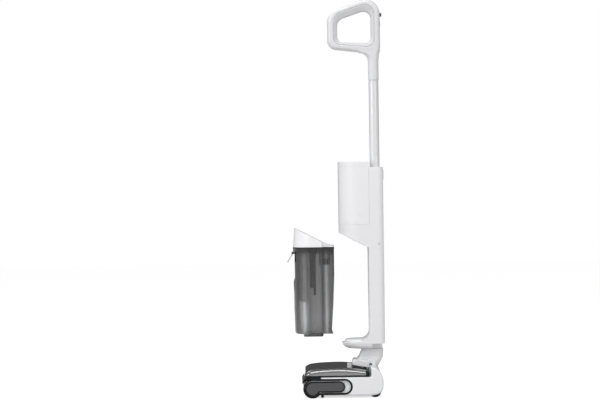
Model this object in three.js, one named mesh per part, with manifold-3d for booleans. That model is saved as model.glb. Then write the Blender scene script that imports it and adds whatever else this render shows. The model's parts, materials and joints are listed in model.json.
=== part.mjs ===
// Wet and dry floor scrubber: an upright machine with a loop handle on a pole, a clean water tank,
// a dirty water tank that is drawn out of its bay, and a floor head with one driven roller.
// Millimetres, +Z up, front of the machine towards -X, left side towards -Y. x = 0 is the rear axle.
import * as THREE from "three";
import { mergeVertices } from "three/addons/utils/BufferGeometryUtils.js";
import Module from "manifold-3d";

const wasm = await Module();
wasm.setup();

// ---------------------------------------------------------------- driving dimensions

const gap = 0.3; // between pieces that rest on each other
const slideGap = 1; // between pieces that slide past each other
const wall = 2.6; // moulded shells

const head = {
  halfWidth: 132,
  rear: 23.5,
  bottom: 6,
  deck: 58.6, // flat top that the brush window stands on
  domeFront: -11.4, // upright edge behind the window
  domeTop: 84.1,
  edge: 6, // rounding of the side edges
  slotHalf: 42, // gap between the two cheeks beside the neck
  slotFloor: 54,
};

const axle = { x: 0, z: 17 }; // rear wheels
const wheel = { radius: 17, width: 16, inboard: 28, boreRadius: 3.4 };
wheel.middle = head.halfWidth - wheel.inboard;

const chamber = { clearance: 2.4, endWall: 14 }; // space round the roller
chamber.halfWidth = head.halfWidth - chamber.endWall;
const roller = { x: -172.4, radius: 25.6, endGap: 2, coreRadius: 18.6, coreWall: 2.2 };
roller.halfLength = chamber.halfWidth - roller.endGap;
const trim = { top: 53.4, bottom: 9.5, rear: -62.2, depth: 5.5, band: 5 };
const arm = { top: 46.1, bottom: 16.1, rear: -82.8, discRadius: 20.6, thickness: 4 };

const pivot = { x: -9.3, z: 84.7, pinRadius: 4, lugRadius: 11, lugHalf: 14, barrelRadius: 14 };
const neck = { front: -33, rear: 28, halfWidth: 36, top: 128.6, axisX: -4.5 };
const collar = { radius: 30.5, spigotRadius: 12 };

const body = {
  front: -93,
  rear: 32.6,
  halfWidth: 57,
  rearRadius: 15,
  top: 635.3,
  columnFront: -7.4, // front of the column behind the clean water tank
  skirtTop: 475.5, // the clean water tank stands on it
  undersideFront: 453.6,
  undersideSlope: 0.51,
  spineFront: -10.6,
  shelfFront: -87.5,
  shelfTop: 155.5,
  shelfBottom: 143,
  cheek: 3.6, // side walls of the spine beside the dirty tank's foot
  trayBottom: 128.9,
};

const cleanTank = { top: 636.5, capTop: 652.6, capRear: -7.9 };

const dirtyTank = {
  front: -98,
  wideRear: -15, // where the wide part ends and the tongue begins
  tongueRear: 17.5,
  halfTop: 56.4,
  halfFoot: 52.2,
  tongueHalf: 38,
  foot: 155.8,
  bossBottom: 147.8,
  bossHalf: 28,
  rimBottom: 392.3,
  rimTop: 398.3,
  wall: 2.4,
};
const tankDrawnOut = new THREE.Vector3(-124, 0, 15.577); // from its seat to where it is drawn out

const lid = { peak: 451.8, wall: 2.4 };
const latch = { z: 382.6, length: 30, thickness: 3.2, halfWidth: 19, openDegrees: 30 };

const pole = { x: 11, radius: 13.7, wall: 1.6, foot: 562, top: 925 };
const sleeve = { radius: 14.8, bottom: 879.6 };
const grip = { halfThickness: 15, linerHalfThickness: 14.6 };

// The loop's corners as [x, z, radius], from the lower front one round below to the top front one.
const loopOuter = [
  [-117.5, 968.5, 27],
  [31, 950.7, 12],
  [31, 1129.4, 43],
  [-117.5, 1068.8, 38],
];
const loopCrease = [
  [-99.8, 981.4, 20],
  [14.9, 972.4, 22],
  [14.9, 1103.3, 27],
  [-99.8, 1064.7, 30],
];
const loopInner = [
  [-89, 987.5, 16],
  [4.9, 984, 17],
  [4.9, 1080.8, 20],
  [-89, 1049.7, 24],
];

// ---------------------------------------------------------------- outlines

function arc(cx, cy, radius, from, to, steps) {
  const points = [];
  for (let i = 0; i <= steps; i++) {
    const a = THREE.MathUtils.degToRad(from + ((to - from) * i) / steps);
    points.push([cx + radius * Math.cos(a), cy + radius * Math.sin(a)]);
  }
  return points;
}

// A closed outline with its corners rounded: corners are [x, y, radius], radius 0 keeps the corner.
function roundedRect(x0, x1, y0, y1, radius, steps) {
  return rounded([[x0, y0, radius], [x1, y0, radius], [x1, y1, radius], [x0, y1, radius]], steps);
}

function rounded(corners, steps = 5) {
  const points = [];
  corners.forEach(([x, y, radius], i) => {
    const before = new THREE.Vector2(...corners.at(i - 1)).sub(new THREE.Vector2(x, y)).normalize();
    const next = corners[(i + 1) % corners.length];
    const after = new THREE.Vector2(...next).sub(new THREE.Vector2(x, y)).normalize();
    if (!radius) {
      points.push([x, y]);
      return;
    }
    const half = before.angleTo(after) / 2;
    const centre = before.clone().add(after).normalize().multiplyScalar(radius / Math.sin(half));
    centre.add(new THREE.Vector2(x, y));
    const reach = radius / Math.tan(half);
    const start = new THREE.Vector2(x, y).addScaledVector(before, reach).sub(centre);
    const end = new THREE.Vector2(x, y).addScaledVector(after, reach).sub(centre);
    const turn = Math.atan2(start.cross(end), start.dot(end));
    for (let k = 0; k <= steps; k++) {
      const spoke = start.clone().rotateAround(new THREE.Vector2(), (turn * k) / steps);
      points.push([centre.x + spoke.x, centre.y + spoke.y]);
    }
  });
  return points;
}

// Plan of the body and the tanks: a half round front and a straight back, seen from above.
function dPlan(front, rear, half, rearRadius = 0, steps = 14) {
  const nose = arc(front + half, 0, half, 90, 270, steps);
  const corner = Math.max(rearRadius, 0.01);
  const right = arc(rear - corner, -half + corner, corner, -90, 0, 4);
  const left = arc(rear - corner, half - corner, corner, 0, 90, 4);
  return [...nose, ...right, ...left];
}

function slot(x0, x1, y, radius, steps = 8) {
  return [...arc(x1, y, radius, -90, 90, steps), ...arc(x0, y, radius, 90, 270, steps)];
}

// ---------------------------------------------------------------- solids

function signedVolume(vertices, triangles) {
  const [a, b, c] = [new THREE.Vector3(), new THREE.Vector3(), new THREE.Vector3()];
  let six = 0;
  for (let i = 0; i < triangles.length; i += 3) {
    a.fromArray(vertices, triangles[i] * 3);
    b.fromArray(vertices, triangles[i + 1] * 3);
    c.fromArray(vertices, triangles[i + 2] * 3);
    six += a.dot(b.cross(c));
  }
  return six / 6;
}

function toSolid(geometry) {
  const plain = geometry.index ? geometry.toNonIndexed() : geometry.clone();
  plain.deleteAttribute("normal");
  plain.deleteAttribute("uv");
  const merged = mergeVertices(plain, 1e-4);
  const vertProperties = merged.attributes.position.array;
  const triVerts = new Uint32Array(merged.index.array);
  if (signedVolume(vertProperties, triVerts) < 0) triVerts.reverse();
  return new wasm.Manifold(new wasm.Mesh({ numProp: 3, vertProperties, triVerts }));
}

function toGeometry(solid) {
  const mesh = solid.getMesh();
  const geometry = new THREE.BufferGeometry();
  geometry.setAttribute("position", new THREE.BufferAttribute(mesh.vertProperties, 3));
  geometry.setIndex(new THREE.BufferAttribute(mesh.triVerts, 1));
  geometry.computeVertexNormals();
  return geometry;
}

function join(...solids) {
  return solids.reduce((sum, solid) => sum.add(solid));
}

function cut(solid, ...tools) {
  return tools.reduce((rest, tool) => rest.subtract(tool), solid);
}

function extruded(outline, depth, bevel, segments) {
  const shape = new THREE.Shape(outline.map(([x, y]) => new THREE.Vector2(x, y)));
  const settings = { depth: depth - 2 * bevel, bevelEnabled: bevel > 0, steps: 1 };
  Object.assign(settings, { bevelSize: bevel, bevelThickness: bevel, bevelOffset: -bevel });
  settings.bevelSegments = segments;
  return new THREE.ExtrudeGeometry(shape, settings).translate(0, 0, bevel);
}

// An outline in x and z, run along Y.
function prismY(outline, y0, y1, bevel = 0, segments = 2) {
  const geometry = extruded(outline, y1 - y0, bevel, segments);
  return toSolid(geometry.rotateX(Math.PI / 2).translate(0, y1, 0));
}

// An outline in x and y, run along Z.
function prismZ(outline, z0, z1, bevel = 0, segments = 2) {
  return toSolid(extruded(outline, z1 - z0, bevel, segments).translate(0, 0, z0));
}

// An outline in y and z, run along X.
function prismX(outline, x0, x1, bevel = 0, segments = 2) {
  const basis = new THREE.Matrix4().makeBasis(
    new THREE.Vector3(0, 1, 0),
    new THREE.Vector3(0, 0, 1),
    new THREE.Vector3(1, 0, 0),
  );
  return toSolid(extruded(outline, x1 - x0, bevel, segments).applyMatrix4(basis).translate(x0, 0, 0));
}

function block(x0, x1, y0, y1, z0, z1) {
  const geometry = new THREE.BoxGeometry(x1 - x0, y1 - y0, z1 - z0);
  return toSolid(geometry.translate((x0 + x1) / 2, (y0 + y1) / 2, (z0 + z1) / 2));
}

function rodY(radius, x, z, y0, y1, sides = 32) {
  const geometry = new THREE.CylinderGeometry(radius, radius, y1 - y0, sides);
  return toSolid(geometry.translate(x, (y0 + y1) / 2, z));
}

function rodZ(radius, x, y, z0, z1, sides = 32) {
  const geometry = new THREE.CylinderGeometry(radius, radius, z1 - z0, sides);
  return toSolid(geometry.rotateX(Math.PI / 2).translate(x, y, (z0 + z1) / 2));
}

// A profile of [radius, height] points turned round an upright axis.
function turnedZ(profile, x, y, sides = 32) {
  const points = profile.map(([r, z]) => new THREE.Vector2(r, z));
  return toSolid(new THREE.LatheGeometry(points, sides).rotateX(Math.PI / 2).translate(x, y, 0));
}

// A profile of [radius, offset] points turned round an axis along Y.
function turnedY(profile, x, z, sides = 32) {
  const points = profile.map(([r, y]) => new THREE.Vector2(r, y));
  return toSolid(new THREE.LatheGeometry(points, sides).translate(x, 0, z));
}

// Skins a list of rings of [x, y, z] points. Open lofts get a flat cap at each end.
function loft(rings, closed = false) {
  const count = rings[0].length;
  const triangles = [];
  const last = closed ? rings.length : rings.length - 1;
  for (let i = 0; i < last; i++) {
    const here = i * count;
    const there = ((i + 1) % rings.length) * count;
    for (let k = 0; k < count; k++) {
      const n = (k + 1) % count;
      triangles.push(here + k, here + n, there + n, here + k, there + n, there + k);
    }
  }
  if (!closed) {
    const cap = THREE.ShapeUtils.triangulateShape(rings[0].map(([x, y]) => new THREE.Vector2(x, y)), []);
    const top = (rings.length - 1) * count;
    for (const [a, b, c] of cap) triangles.push(a, c, b, top + a, top + b, top + c);
  }
  const geometry = new THREE.BufferGeometry();
  const flat = new Float32Array(rings.flat(2));
  geometry.setAttribute("position", new THREE.BufferAttribute(flat, 3));
  geometry.setIndex(triangles);
  return toSolid(geometry);
}

// A loft through flat outlines at rising heights: levels are [height, outline].
function loftZ(levels) {
  return loft(levels.map(([z, outline]) => outline.map(([x, y]) => [x, y, z])));
}

// ---------------------------------------------------------------- finishes and assembly

const finishes = {
  white: [0xe6e6e8, 0.35, 0],
  milkWhite: [0xe4e4e7, 0.3, 0],
  grey: [0xc4c4c6, 0.45, 0],
  darkGrey: [0x55565a, 0.45, 0],
  black: [0x1b1b1d, 0.5, 0],
  rubber: [0x161617, 0.85, 0],
  smoke: [0x4a4b4f, 0.12, 0],
  metal: [0xd2d3d6, 0.32, 0.85],
  brass: [0xc9a24e, 0.35, 0.9],
  fabric: [0x8d8f96, 0.95, 0],
  board: [0x2f6b46, 0.6, 0],
  cell: [0x3d6a9e, 0.5, 0],
};

function piece(group, name, solid, finish) {
  const [color, roughness, metalness] = finishes[finish];
  const material = new THREE.MeshStandardMaterial({ color, roughness, metalness });
  const mesh = new THREE.Mesh(toGeometry(solid), material);
  mesh.name = name;
  group.add(mesh);
}

const sides = [
  ["left", -1],
  ["right", 1],
];

// A solid made for the left side (-Y), or its mirror image for the right side.
function onSide(solid, sign) {
  return sign < 0 ? solid : solid.mirror([0, 1, 0]);
}

// ---------------------------------------------------------------- floor head

function headOutline() {
  return [
    [-142, head.bottom],
    [-12, head.bottom],
    [6, 9],
    [16, 15],
    [21.4, 24],
    [head.rear, 36],
    [23, 50],
    [20, 60.5],
    [13.7, 72],
    [4, 79.8],
    [head.domeFront, head.domeTop],
    [head.domeFront, head.deck],
    [-150, head.deck],
    [-150, 30],
  ];
}

function trimOutline(inset = 0) {
  const middle = (trim.top + trim.bottom) / 2;
  const radius = (trim.top - trim.bottom) / 2 - inset;
  return slot(roller.x, trim.rear - inset - radius, middle, radius, 10);
}

// The end housing's shape: a round nose over the roller's end, run into a long rounded bar.
function trimBlock(y0, y1, inset = 0) {
  const nose = rodY(roller.radius + 0.4 - inset, roller.x, roller.radius + 0.7, y0, y1, 40);
  return join(nose, prismY(trimOutline(inset), y0, y1));
}

function headBase() {
  const { halfWidth, slotHalf, slotFloor, rear, deck } = head;
  const shell = prismY(headOutline(), -halfWidth, halfWidth, head.edge, 3);
  const armY = chamber.halfWidth;
  const floorY = -halfWidth + trim.depth + gap;
  const arms = sides.map(([, sign]) => onSide(trimBlock(floorY, -armY), sign));
  const roll = rodY(roller.radius + chamber.clearance, roller.x, roller.radius, -armY, armY, 40);
  const forward = block(roller.x - 60, roller.x + 6, -armY, armY, -5, 120);
  const slotCut = block(head.domeFront - 20, rear + 20, -slotHalf, slotHalf, slotFloor, 120);
  const wells = sides.map(([, sign]) => onSide(wheelWell(), sign));
  const recesses = sides.map(([, sign]) =>
    onSide(trimBlock(-halfWidth - 5, floorY, -gap), sign),
  );
  const lug = join(
    rodY(pivot.lugRadius, pivot.x, pivot.z, -pivot.lugHalf, pivot.lugHalf, 28),
    block(
      pivot.x - pivot.lugRadius,
      pivot.x + pivot.lugRadius,
      -pivot.lugHalf,
      pivot.lugHalf,
      slotFloor - 2,
      pivot.z,
    ),
  );
  const pinBore = rodY(pivot.pinRadius + gap, pivot.x, pivot.z, -slotHalf, slotHalf, 24);
  const duct = block(-146, -60, -34, 34, 22, 44);
  const underside = block(-120, -30, -92, 92, head.bottom - 1, 15);
  const body = cut(shell, roll, forward, slotCut, ...wells, ...recesses, duct, underside);
  return cut(join(body, ...arms, lug), pinBore, squeegeeGroove(gap), ...axleBores(), scraperSlot());
}

function wheelWell() {
  const middle = -wheel.middle;
  const half = wheel.width / 2 + 1.6;
  const reach = wheel.radius + 2;
  const arch = rodY(reach, axle.x, axle.z, middle - half, middle + half, 32);
  const under = block(axle.x - reach, axle.x + reach + 12, middle - half, middle + half, -5, axle.z);
  return join(arch, under);
}

function axleBores() {
  return sides.map(([, sign]) => {
    const middle = -wheel.middle;
    return onSide(rodY(wheel.boreRadius - gap, axle.x, axle.z, middle - 16, middle + 16, 20), sign);
  });
}

function squeegeeGroove(extra = 0) {
  const x = -141;
  const half = chamber.halfWidth - 6 + extra;
  return block(x - 3 - extra, x + 3 + extra, -half, half, 0, 16 + extra);
}

function floorSqueegee() {
  const blade = [
    [-144, 16],
    [-144, 5],
    [-149, 1.5],
    [-148, 0],
    [-144.5, 0],
    [-138, 6],
    [-138, 16],
  ];
  return prismY(blade, 6 - chamber.halfWidth, chamber.halfWidth - 6);
}

function scraperSlot() {
  const half = chamber.halfWidth - 5;
  return join(block(-147, -139.5, -half, half, 46.7, 54.3), block(-165, -146, -half, half, 47.3, 49.7));
}

function rollerScraper() {
  const tip = roller.x + 14;
  const blade = [
    [-139.8, 47],
    [-139.8, 54],
    [-146.7, 54],
    [-146.7, 49.4],
    [tip, 49.4],
    [tip, 47.6],
    [-146.7, 47.6],
    [-146.7, 47],
  ];
  return prismY(blade, 5.4 - chamber.halfWidth, chamber.halfWidth - 5.4);
}

function sideTrim() {
  const outerY = -head.halfWidth + 0.4;
  const innerY = outerY + trim.depth - 0.4;
  const ring = trimBlock(outerY, innerY);
  return cut(ring, trimBlock(outerY - 1, innerY + 1, trim.band));
}

// The dark plate that carries the roller's end: a disc with a bar to the rear and a notch below.
function rollerArm() {
  const outerY = -head.halfWidth + 1.2;
  const innerY = outerY + arm.thickness;
  const radius = (arm.top - arm.bottom) / 2;
  const middle = (arm.top + arm.bottom) / 2;
  const bar = prismY(slot(roller.x, arm.rear - radius, middle, radius, 10), outerY, innerY, 0.8, 1);
  const disc = rodY(arm.discRadius - gap, roller.x, roller.radius, outerY, innerY, 40);
  const notch = rodY(2.4, -150, arm.bottom - 0.6, outerY - 1, innerY + 1, 16);
  const spigot = rodY(7, roller.x, roller.radius, innerY - 1, -chamber.halfWidth - 1.5, 24);
  return join(cut(join(bar, disc), notch), spigot);
}

function armSeat() {
  return rodY(7 + gap, roller.x, roller.radius, -head.halfWidth, -chamber.halfWidth - 1, 24);
}

function frontLip() {
  const lip = [
    [-190.5, 53.2],
    [-193.5, 53.2],
    [-201.2, 41.5],
    [-200, 39.6],
    [-198.6, 40.2],
  ];
  const half = chamber.halfWidth - 6;
  const blade = prismY(lip, -half, half, 0.5, 1);
  const tab = [
    [-184, 53.2],
    [-193.5, 53.2],
    [-193.5, 50.8],
    [-184, 50.8],
  ];
  const end = prismY(tab, 0.6 - chamber.halfWidth, 10 - half);
  const ends = sides.map(([, sign]) => onSide(end, sign));
  return join(blade, ...ends);
}

function wheelSolid(sign) {
  const half = wheel.width / 2;
  const r = wheel.radius;
  const profile = [
    [wheel.boreRadius, -half],
    [r - 5, -half],
    [r - 4, -half + 1],
    [r - 1.2, -half + 0.6],
    [r, -half + 2],
    [r, half - 2],
    [r - 1.2, half - 0.6],
    [r - 4, half - 1],
    [r - 5, half],
    [wheel.boreRadius, half],
    [wheel.boreRadius, -half],
  ];
  return turnedY(profile, axle.x, axle.z, 28).translate(0, sign * wheel.middle, 0);
}

function rollerCore() {
  const tube = rodY(roller.coreRadius, roller.x, roller.radius, -roller.halfLength, roller.halfLength);
  const bore = rodY(
    roller.coreRadius - roller.coreWall,
    roller.x,
    roller.radius,
    -roller.halfLength - 1,
    roller.halfLength - 4,
  );
  const stub = rodY(4, roller.x, roller.radius, roller.halfLength - 1, roller.halfLength + 1.4, 20);
  return join(cut(tube, bore), stub);
}

function rollerSleeve() {
  const half = roller.halfLength - 1;
  const inner = roller.coreRadius + gap;
  const outer = roller.radius;
  const profile = [
    [inner, -half],
    [outer - 1.6, -half],
    [outer, -half + 2],
    [outer, half - 2],
    [outer - 1.6, half],
    [inner, half],
    [inner, -half],
  ];
  return turnedY(profile, roller.x, roller.radius, 40);
}

function rollerMotor() {
  const can = rodY(13, roller.x, roller.radius, -roller.halfLength + 2, 20, 28);
  const flange = rodY(10, roller.x, roller.radius, -chamber.halfWidth + 0.4, -roller.halfLength + 3, 28);
  return join(can, flange);
}

// ---------------------------------------------------------------- brush window

const windowTop = [
  [-196.2, 54.2],
  [-192.8, 68.2],
  [-184, 75],
  [-171, 78.2],
  [-150, 80.3],
  [-120, 81.6],
  [-88, 81.8],
  [-60, 79.6],
  [-40, 76.6],
  [-15.4, 72.6],
];

const windowFoot = 62; // the window's clear part starts above its black frame
const windowRear = -25; // and ends in front of the frame's upright bar

function windowOutline(inset) {
  const top = windowTop.map(([x, z], i) => {
    const start = windowTop[Math.max(i - 1, 0)];
    const end = windowTop[Math.min(i + 1, windowTop.length - 1)];
    const along = new THREE.Vector2(end[0] - start[0], end[1] - start[1]).normalize();
    return [x + along.y * inset, z - along.x * inset];
  });
  return [[top.at(-1)[0], windowTop[0][1]], ...top];
}

function brushWindow() {
  const half = head.halfWidth - 0.6;
  const skin = 2.6;
  const shell = prismY(windowOutline(0), -half, half, 6, 3);
  const hollow = prismY(windowOutline(skin), -half + skin, half - skin, 4.5, 3);
  const frameRoom = join(
    block(-210, 0, -half - 1, half + 1, 40, windowFoot + gap),
    block(windowRear - gap, 0, -half - 1, half + 1, 50, 90),
  );
  return cut(shell, hollow, frameRoom, neckRoom(), buttonPocket(0.5));
}

function neckRoom() {
  return block(-36, 0, -head.slotHalf - 1, head.slotHalf + 1, 50, 100);
}

// The black frame under the window, with an upright bar behind it.
function windowFrame() {
  const half = head.halfWidth - 0.6;
  const foot = [
    [-15.2, head.deck + gap],
    [-150, head.deck + gap],
    [-153, 54.4],
    [-196, 54.4],
    [-194.6, 64],
    [windowRear - 1, 64],
    [windowRear, 73.8],
    [-15.2, 72.4],
  ];
  const ring = prismY(foot, -half, half, 2, 2);
  const light = join(
    block(-189, windowRear, -half + 7, half - 7, 40, 80),
    block(-210, windowRear, -half - 1, half + 1, windowFoot, 80),
  );
  return cut(ring, light, neckRoom());
}

function buttonPocket(extra) {
  return block(-74 - extra, -61 + extra, -13 - extra, 13 + extra, 74, 95);
}

// The black bar behind the window's rear edge, with a spray rail that wets the roller.
function sprayBar() {
  const half = head.halfWidth - 9;
  const rail = prismY(roundedRect(-150, -138, 66, 73, 2, 3), -half, half);
  const feet = [-90, 0, 90].map((y) => block(-147, -141, y - 5, y + 5, head.deck + gap, 67));
  const nozzles = [-75, -25, 25, 75].map((y) => rodZ(1.6, -146, y, 72, 75.4, 12));
  return join(rail, ...feet, ...nozzles);
}

function releaseButton() {
  const outline = rounded([[-73.6, 79, 0], [-61.4, 79, 0], [-61.4, 86.6, 2.5], [-73.6, 87, 2.5]], 3);
  return prismY(outline, -12.6, 12.6, 0.8, 1);
}

// ---------------------------------------------------------------- neck

function swivelNeck() {
  const levels = [
    [72, -38, 9, 30],
    [82, -50, 14, 34],
    [88, -54, 17, 36],
    [95, -50, 21, 37],
    [101, -46, 24.4, 37],
    [107, -41, 26.4, 36],
    [115, -37.4, 27.4, 35.5],
    [123, -34.2, 27.8, 35.5],
    [neck.top, neck.front, neck.rear, neck.halfWidth],
  ];
  const column = loftZ(levels.map(([z, x0, x1, half]) => [z, roundedBox(x0, x1, half, 13)]));
  const barrel = rodY(pivot.barrelRadius, pivot.x, pivot.z, -head.slotHalf + 1, head.slotHalf - 1, 36);
  const apron = prismY(
    [
      [-60, 84.6],
      [-60, 92],
      [-54, 95.5],
      [-44, 100],
      [-20, 92],
      [-12, 79],
      [-24, 77.8],
      [-40, 80.2],
    ],
    -head.slotHalf + 1,
    head.slotHalf - 1,
    2.5,
    2,
  );
  const rib = rodY(7, -52, 93, -head.slotHalf + 2.5, head.slotHalf - 2.5, 28);
  const below = prismY(
    [
      [-70, 60],
      [-12, 60],
      [-12, 77.4],
      [-24, 77.4],
      [-40, 79.8],
      [-62, 84],
      [-70, 84],
    ],
    -60,
    60,
  );
  const bore = rodY(pivot.pinRadius + gap, pivot.x, pivot.z, -60, 60, 24);
  const lugRoom = block(
    pivot.x - pivot.lugRadius - 2,
    neck.rear + 5,
    -pivot.lugHalf - slideGap,
    pivot.lugHalf + slideGap,
    50,
    pivot.z + pivot.lugRadius + 2,
  );
  const spigotHole = rodZ(collar.spigotRadius + gap, neck.axisX, 0, neck.top - 14, neck.top + 5, 28);
  return cut(join(cut(join(column, apron, rib), below), barrel), bore, lugRoom, spigotHole);
}

function roundedBox(x0, x1, half, radius) {
  const r = Math.min(radius, (x1 - x0) / 2 - 0.5, half - 0.5);
  return roundedRect(x0, x1, -half, half, r, 4);
}

function swivelCollar() {
  const top = body.shelfBottom - gap;
  const low = neck.top + gap;
  const r = collar.radius;
  const flange = turnedZ(
    [
      [0, low - 12],
      [collar.spigotRadius - 1, low - 12],
      [collar.spigotRadius, low - 11],
      [collar.spigotRadius, low],
      [r - 1, low],
      [r, low + 1],
      [r, top - 1],
      [r - 1, top],
      [0, top],
    ],
    neck.axisX,
    0,
    40,
  );
  return flange;
}

// ---------------------------------------------------------------- main body

function bodyPlan(front, half, rearRadius = body.rearRadius) {
  return dPlan(front, body.rear, half, rearRadius);
}

function undersideAt(x) {
  return body.undersideFront - body.undersideSlope * (x - body.front);
}

// Skirt and column above the dirty tank's bay, with the slanted underside.
function upperHousing() {
  const plan = prismZ(bodyPlan(body.front, body.halfWidth), body.shelfBottom, body.top + 5);
  const side = prismY(
    [
      [body.front - 5, undersideAt(body.front - 5)],
      [body.spineFront, undersideAt(body.spineFront)],
      [body.rear + 5, undersideAt(body.spineFront)],
      [body.rear + 5, body.top],
      [body.columnFront, body.top],
      [body.columnFront, body.skirtTop],
      [body.front - 5, body.skirtTop],
    ],
    -body.halfWidth - 5,
    body.halfWidth + 5,
  );
  return plan.intersect(side);
}

function spine() {
  const outline = rounded(
    [
      [body.spineFront, -body.halfWidth, 2],
      [body.rear, -body.halfWidth, body.rearRadius],
      [body.rear, body.halfWidth, body.rearRadius],
      [body.spineFront, body.halfWidth, 2],
    ],
    4,
  );
  return prismZ(outline, body.shelfBottom, undersideAt(body.spineFront) + 5);
}

function shelf() {
  const levels = [
    [0, 0.3],
    [3, 0],
    [7, 0.6],
    [10, 2.2],
    [body.shelfTop - body.shelfBottom, 5.5],
  ];
  return loftZ(
    levels.map(([up, inset]) => [
      body.shelfBottom + up,
      bodyPlan(body.shelfFront + inset, body.halfWidth - inset * 0.6),
    ]),
  );
}

// Thin walls beside the dirty tank's foot, blended into the spine by a large hollow curve.
function cheeks() {
  const radius = 24;
  const cornerX = body.spineFront - radius;
  const cornerZ = body.shelfTop + radius;
  const curve = arc(cornerX, cornerZ, radius, -90, 0, 8);
  const outline = [...curve, [body.spineFront + 6, cornerZ], [body.spineFront + 6, body.shelfTop - 4]];
  outline.push([cornerX, body.shelfTop - 4]);
  return sides.map(([, sign]) =>
    onSide(prismY(outline, -body.halfWidth, -body.halfWidth + body.cheek), sign),
  );
}

const channel = {
  half: dirtyTank.tongueHalf + slideGap,
  rear: dirtyTank.tongueRear + slideGap,
  floor: dirtyTank.foot - slideGap,
};
const cavity = { front: channel.rear + 2, rear: body.rear - 4.6, half: 44, low: 172 };
const socket = { bore: pole.radius + gap, foot: pole.foot - gap };
const rearPanel = { half: 46.5, low: 168, high: 597, thickness: 3 };

function mainHousing() {
  const solid = join(upperHousing(), spine(), shelf(), ...cheeks());
  const bay = block(
    body.spineFront - 3,
    channel.rear,
    -channel.half,
    channel.half,
    channel.floor,
    undersideAt(body.spineFront) + 1,
  );
  const bossGroove = block(
    body.shelfFront - 5,
    dirtyTank.wideRear + 1.5,
    -dirtyTank.bossHalf - slideGap,
    dirtyTank.bossHalf + slideGap,
    dirtyTank.bossBottom - slideGap / 2,
    body.shelfTop + 20,
  );
  const lowCavity = block(cavity.front, cavity.rear + 6, -cavity.half, cavity.half, cavity.low, 405);
  const midCavity = block(-27, cavity.rear + 6, -cavity.half, cavity.half, 424, body.skirtTop - 3);
  const motorRoom = cut(midCavity, wedge(-30, cavity.rear + 8, 3));
  const highCavity = block(
    body.columnFront + wall,
    cavity.rear + 6,
    -cavity.half,
    cavity.half,
    400,
    548,
  );
  const high = cut(highCavity, block(-50, 60, -80, 80, 395, body.skirtTop - 4));
  const pumpRoom = block(-2, cavity.rear + 6, 20, cavity.half, 560, 606);
  const seat = block(
    cavity.rear,
    body.rear + 5,
    -rearPanel.half - gap,
    rearPanel.half + gap,
    rearPanel.low - gap,
    rearPanel.high + gap,
  );
  const poleBore = rodZ(socket.bore, pole.x, 0, socket.foot, body.top + 5, 36);
  const button = join(
    block(pole.x + 10, body.rear + 10, -7.5, 7.5, 615, 627),
    block(body.rear - 4.2, body.rear + 10, -11.1, 11.1, 600, 628.5),
  );
  const sealGroove = sealRing(gap, 8, 3.3);
  const port = prismZ(roundedRect(-52, -30, -16, 16, 6, 3), 400, 446);
  return cut(
    solid,
    bay,
    bossGroove,
    lowCavity,
    motorRoom,
    high,
    pumpRoom,
    seat,
    poleBore,
    button,
    sealGroove,
    port,
    valveHole(),
    ...screwHoles(gap),
    ...contactSeats(gap),
  );
}

// Everything under the slanted underside raised by lift, to keep a floor under the motor room.
function wedge(x0, x1, lift) {
  return prismY(
    [
      [x0, 350],
      [x1, 350],
      [x1, undersideAt(body.spineFront) + lift],
      [body.spineFront, undersideAt(body.spineFront) + lift],
      [x0, undersideAt(x0) + lift],
    ],
    -80,
    80,
  );
}

function valveHole() {
  return rodZ(9, -60, 0, body.skirtTop - 9, body.skirtTop + 5, 24);
}

function screwHoles(extra) {
  return sides.map(([, sign]) => {
    const y = -body.halfWidth;
    return onSide(rodY(2.8 + extra, 18.6, 421.6, y - 3, y + 2.2 + extra, 16), sign);
  });
}

function screwCap() {
  const y = -body.halfWidth;
  return rodY(2.8, 18.6, 421.6, y + 0.3, y + 2.2, 16);
}

function contactSeats(extra) {
  const y = -16;
  const half = 5 + extra;
  const seat = block(body.rear - 2 - extra, body.rear + 3, y - half, y + half, 149.5, 160.5);
  return sides.map(([, sign]) => onSide(seat, sign));
}

function chargingContact() {
  return block(body.rear - 2, body.rear - 0.4, -21, -11, 150, 160);
}

// The sealing ring between the underside and the dirty tank's lid, or its groove with a gap all round.
function sealRing(extra, below, above) {
  const outer = roundedRect(-66 - extra, -17 + extra, -27 - extra, 27 + extra, 8, 4);
  const inner = roundedRect(-61.5 + extra, -21.5 - extra, -22.5 + extra, 22.5 - extra, 8, 4);
  const tube = cut(prismZ(outer, 380, 470), prismZ(inner, 379, 471));
  const band = prismY(
    [
      [-80, undersideAt(-80) - below],
      [-10, undersideAt(-10) - below],
      [-10, undersideAt(-10) + above],
      [-80, undersideAt(-80) + above],
    ],
    -60,
    60,
  );
  return tube.intersect(band);
}

function rearCover() {
  const { half, low, high, thickness } = rearPanel;
  const x0 = body.rear - thickness;
  const outline = roundedRect(-half, half, low, high, 6, 4);
  const panel = prismX(outline, x0, body.rear - 0.2, 0.8, 1);
  const lipOutline = roundedRect(-half + 3, half - 3, low + 5, high - 5, 4, 3);
  const lip = cut(
    prismX(lipOutline, cavity.rear + gap, x0 + 1),
    block(cavity.rear - 5, x0 + 3, -half + 6, half - 6, low + 8, high - 8),
  );
  const vents = [];
  for (let i = 0; i < 9; i++) {
    const z = 432 + i * 5.2;
    vents.push(prismX(slotYZ(-26, 26, z, 1.3), x0 - 2, body.rear + 2));
  }
  return cut(join(panel, cut(lip, block(20, 60, -60, 60, 555, 600))), ...vents);
}

function slotYZ(y0, y1, z, radius) {
  return slot(y0, y1, z, radius, 4);
}

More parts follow.
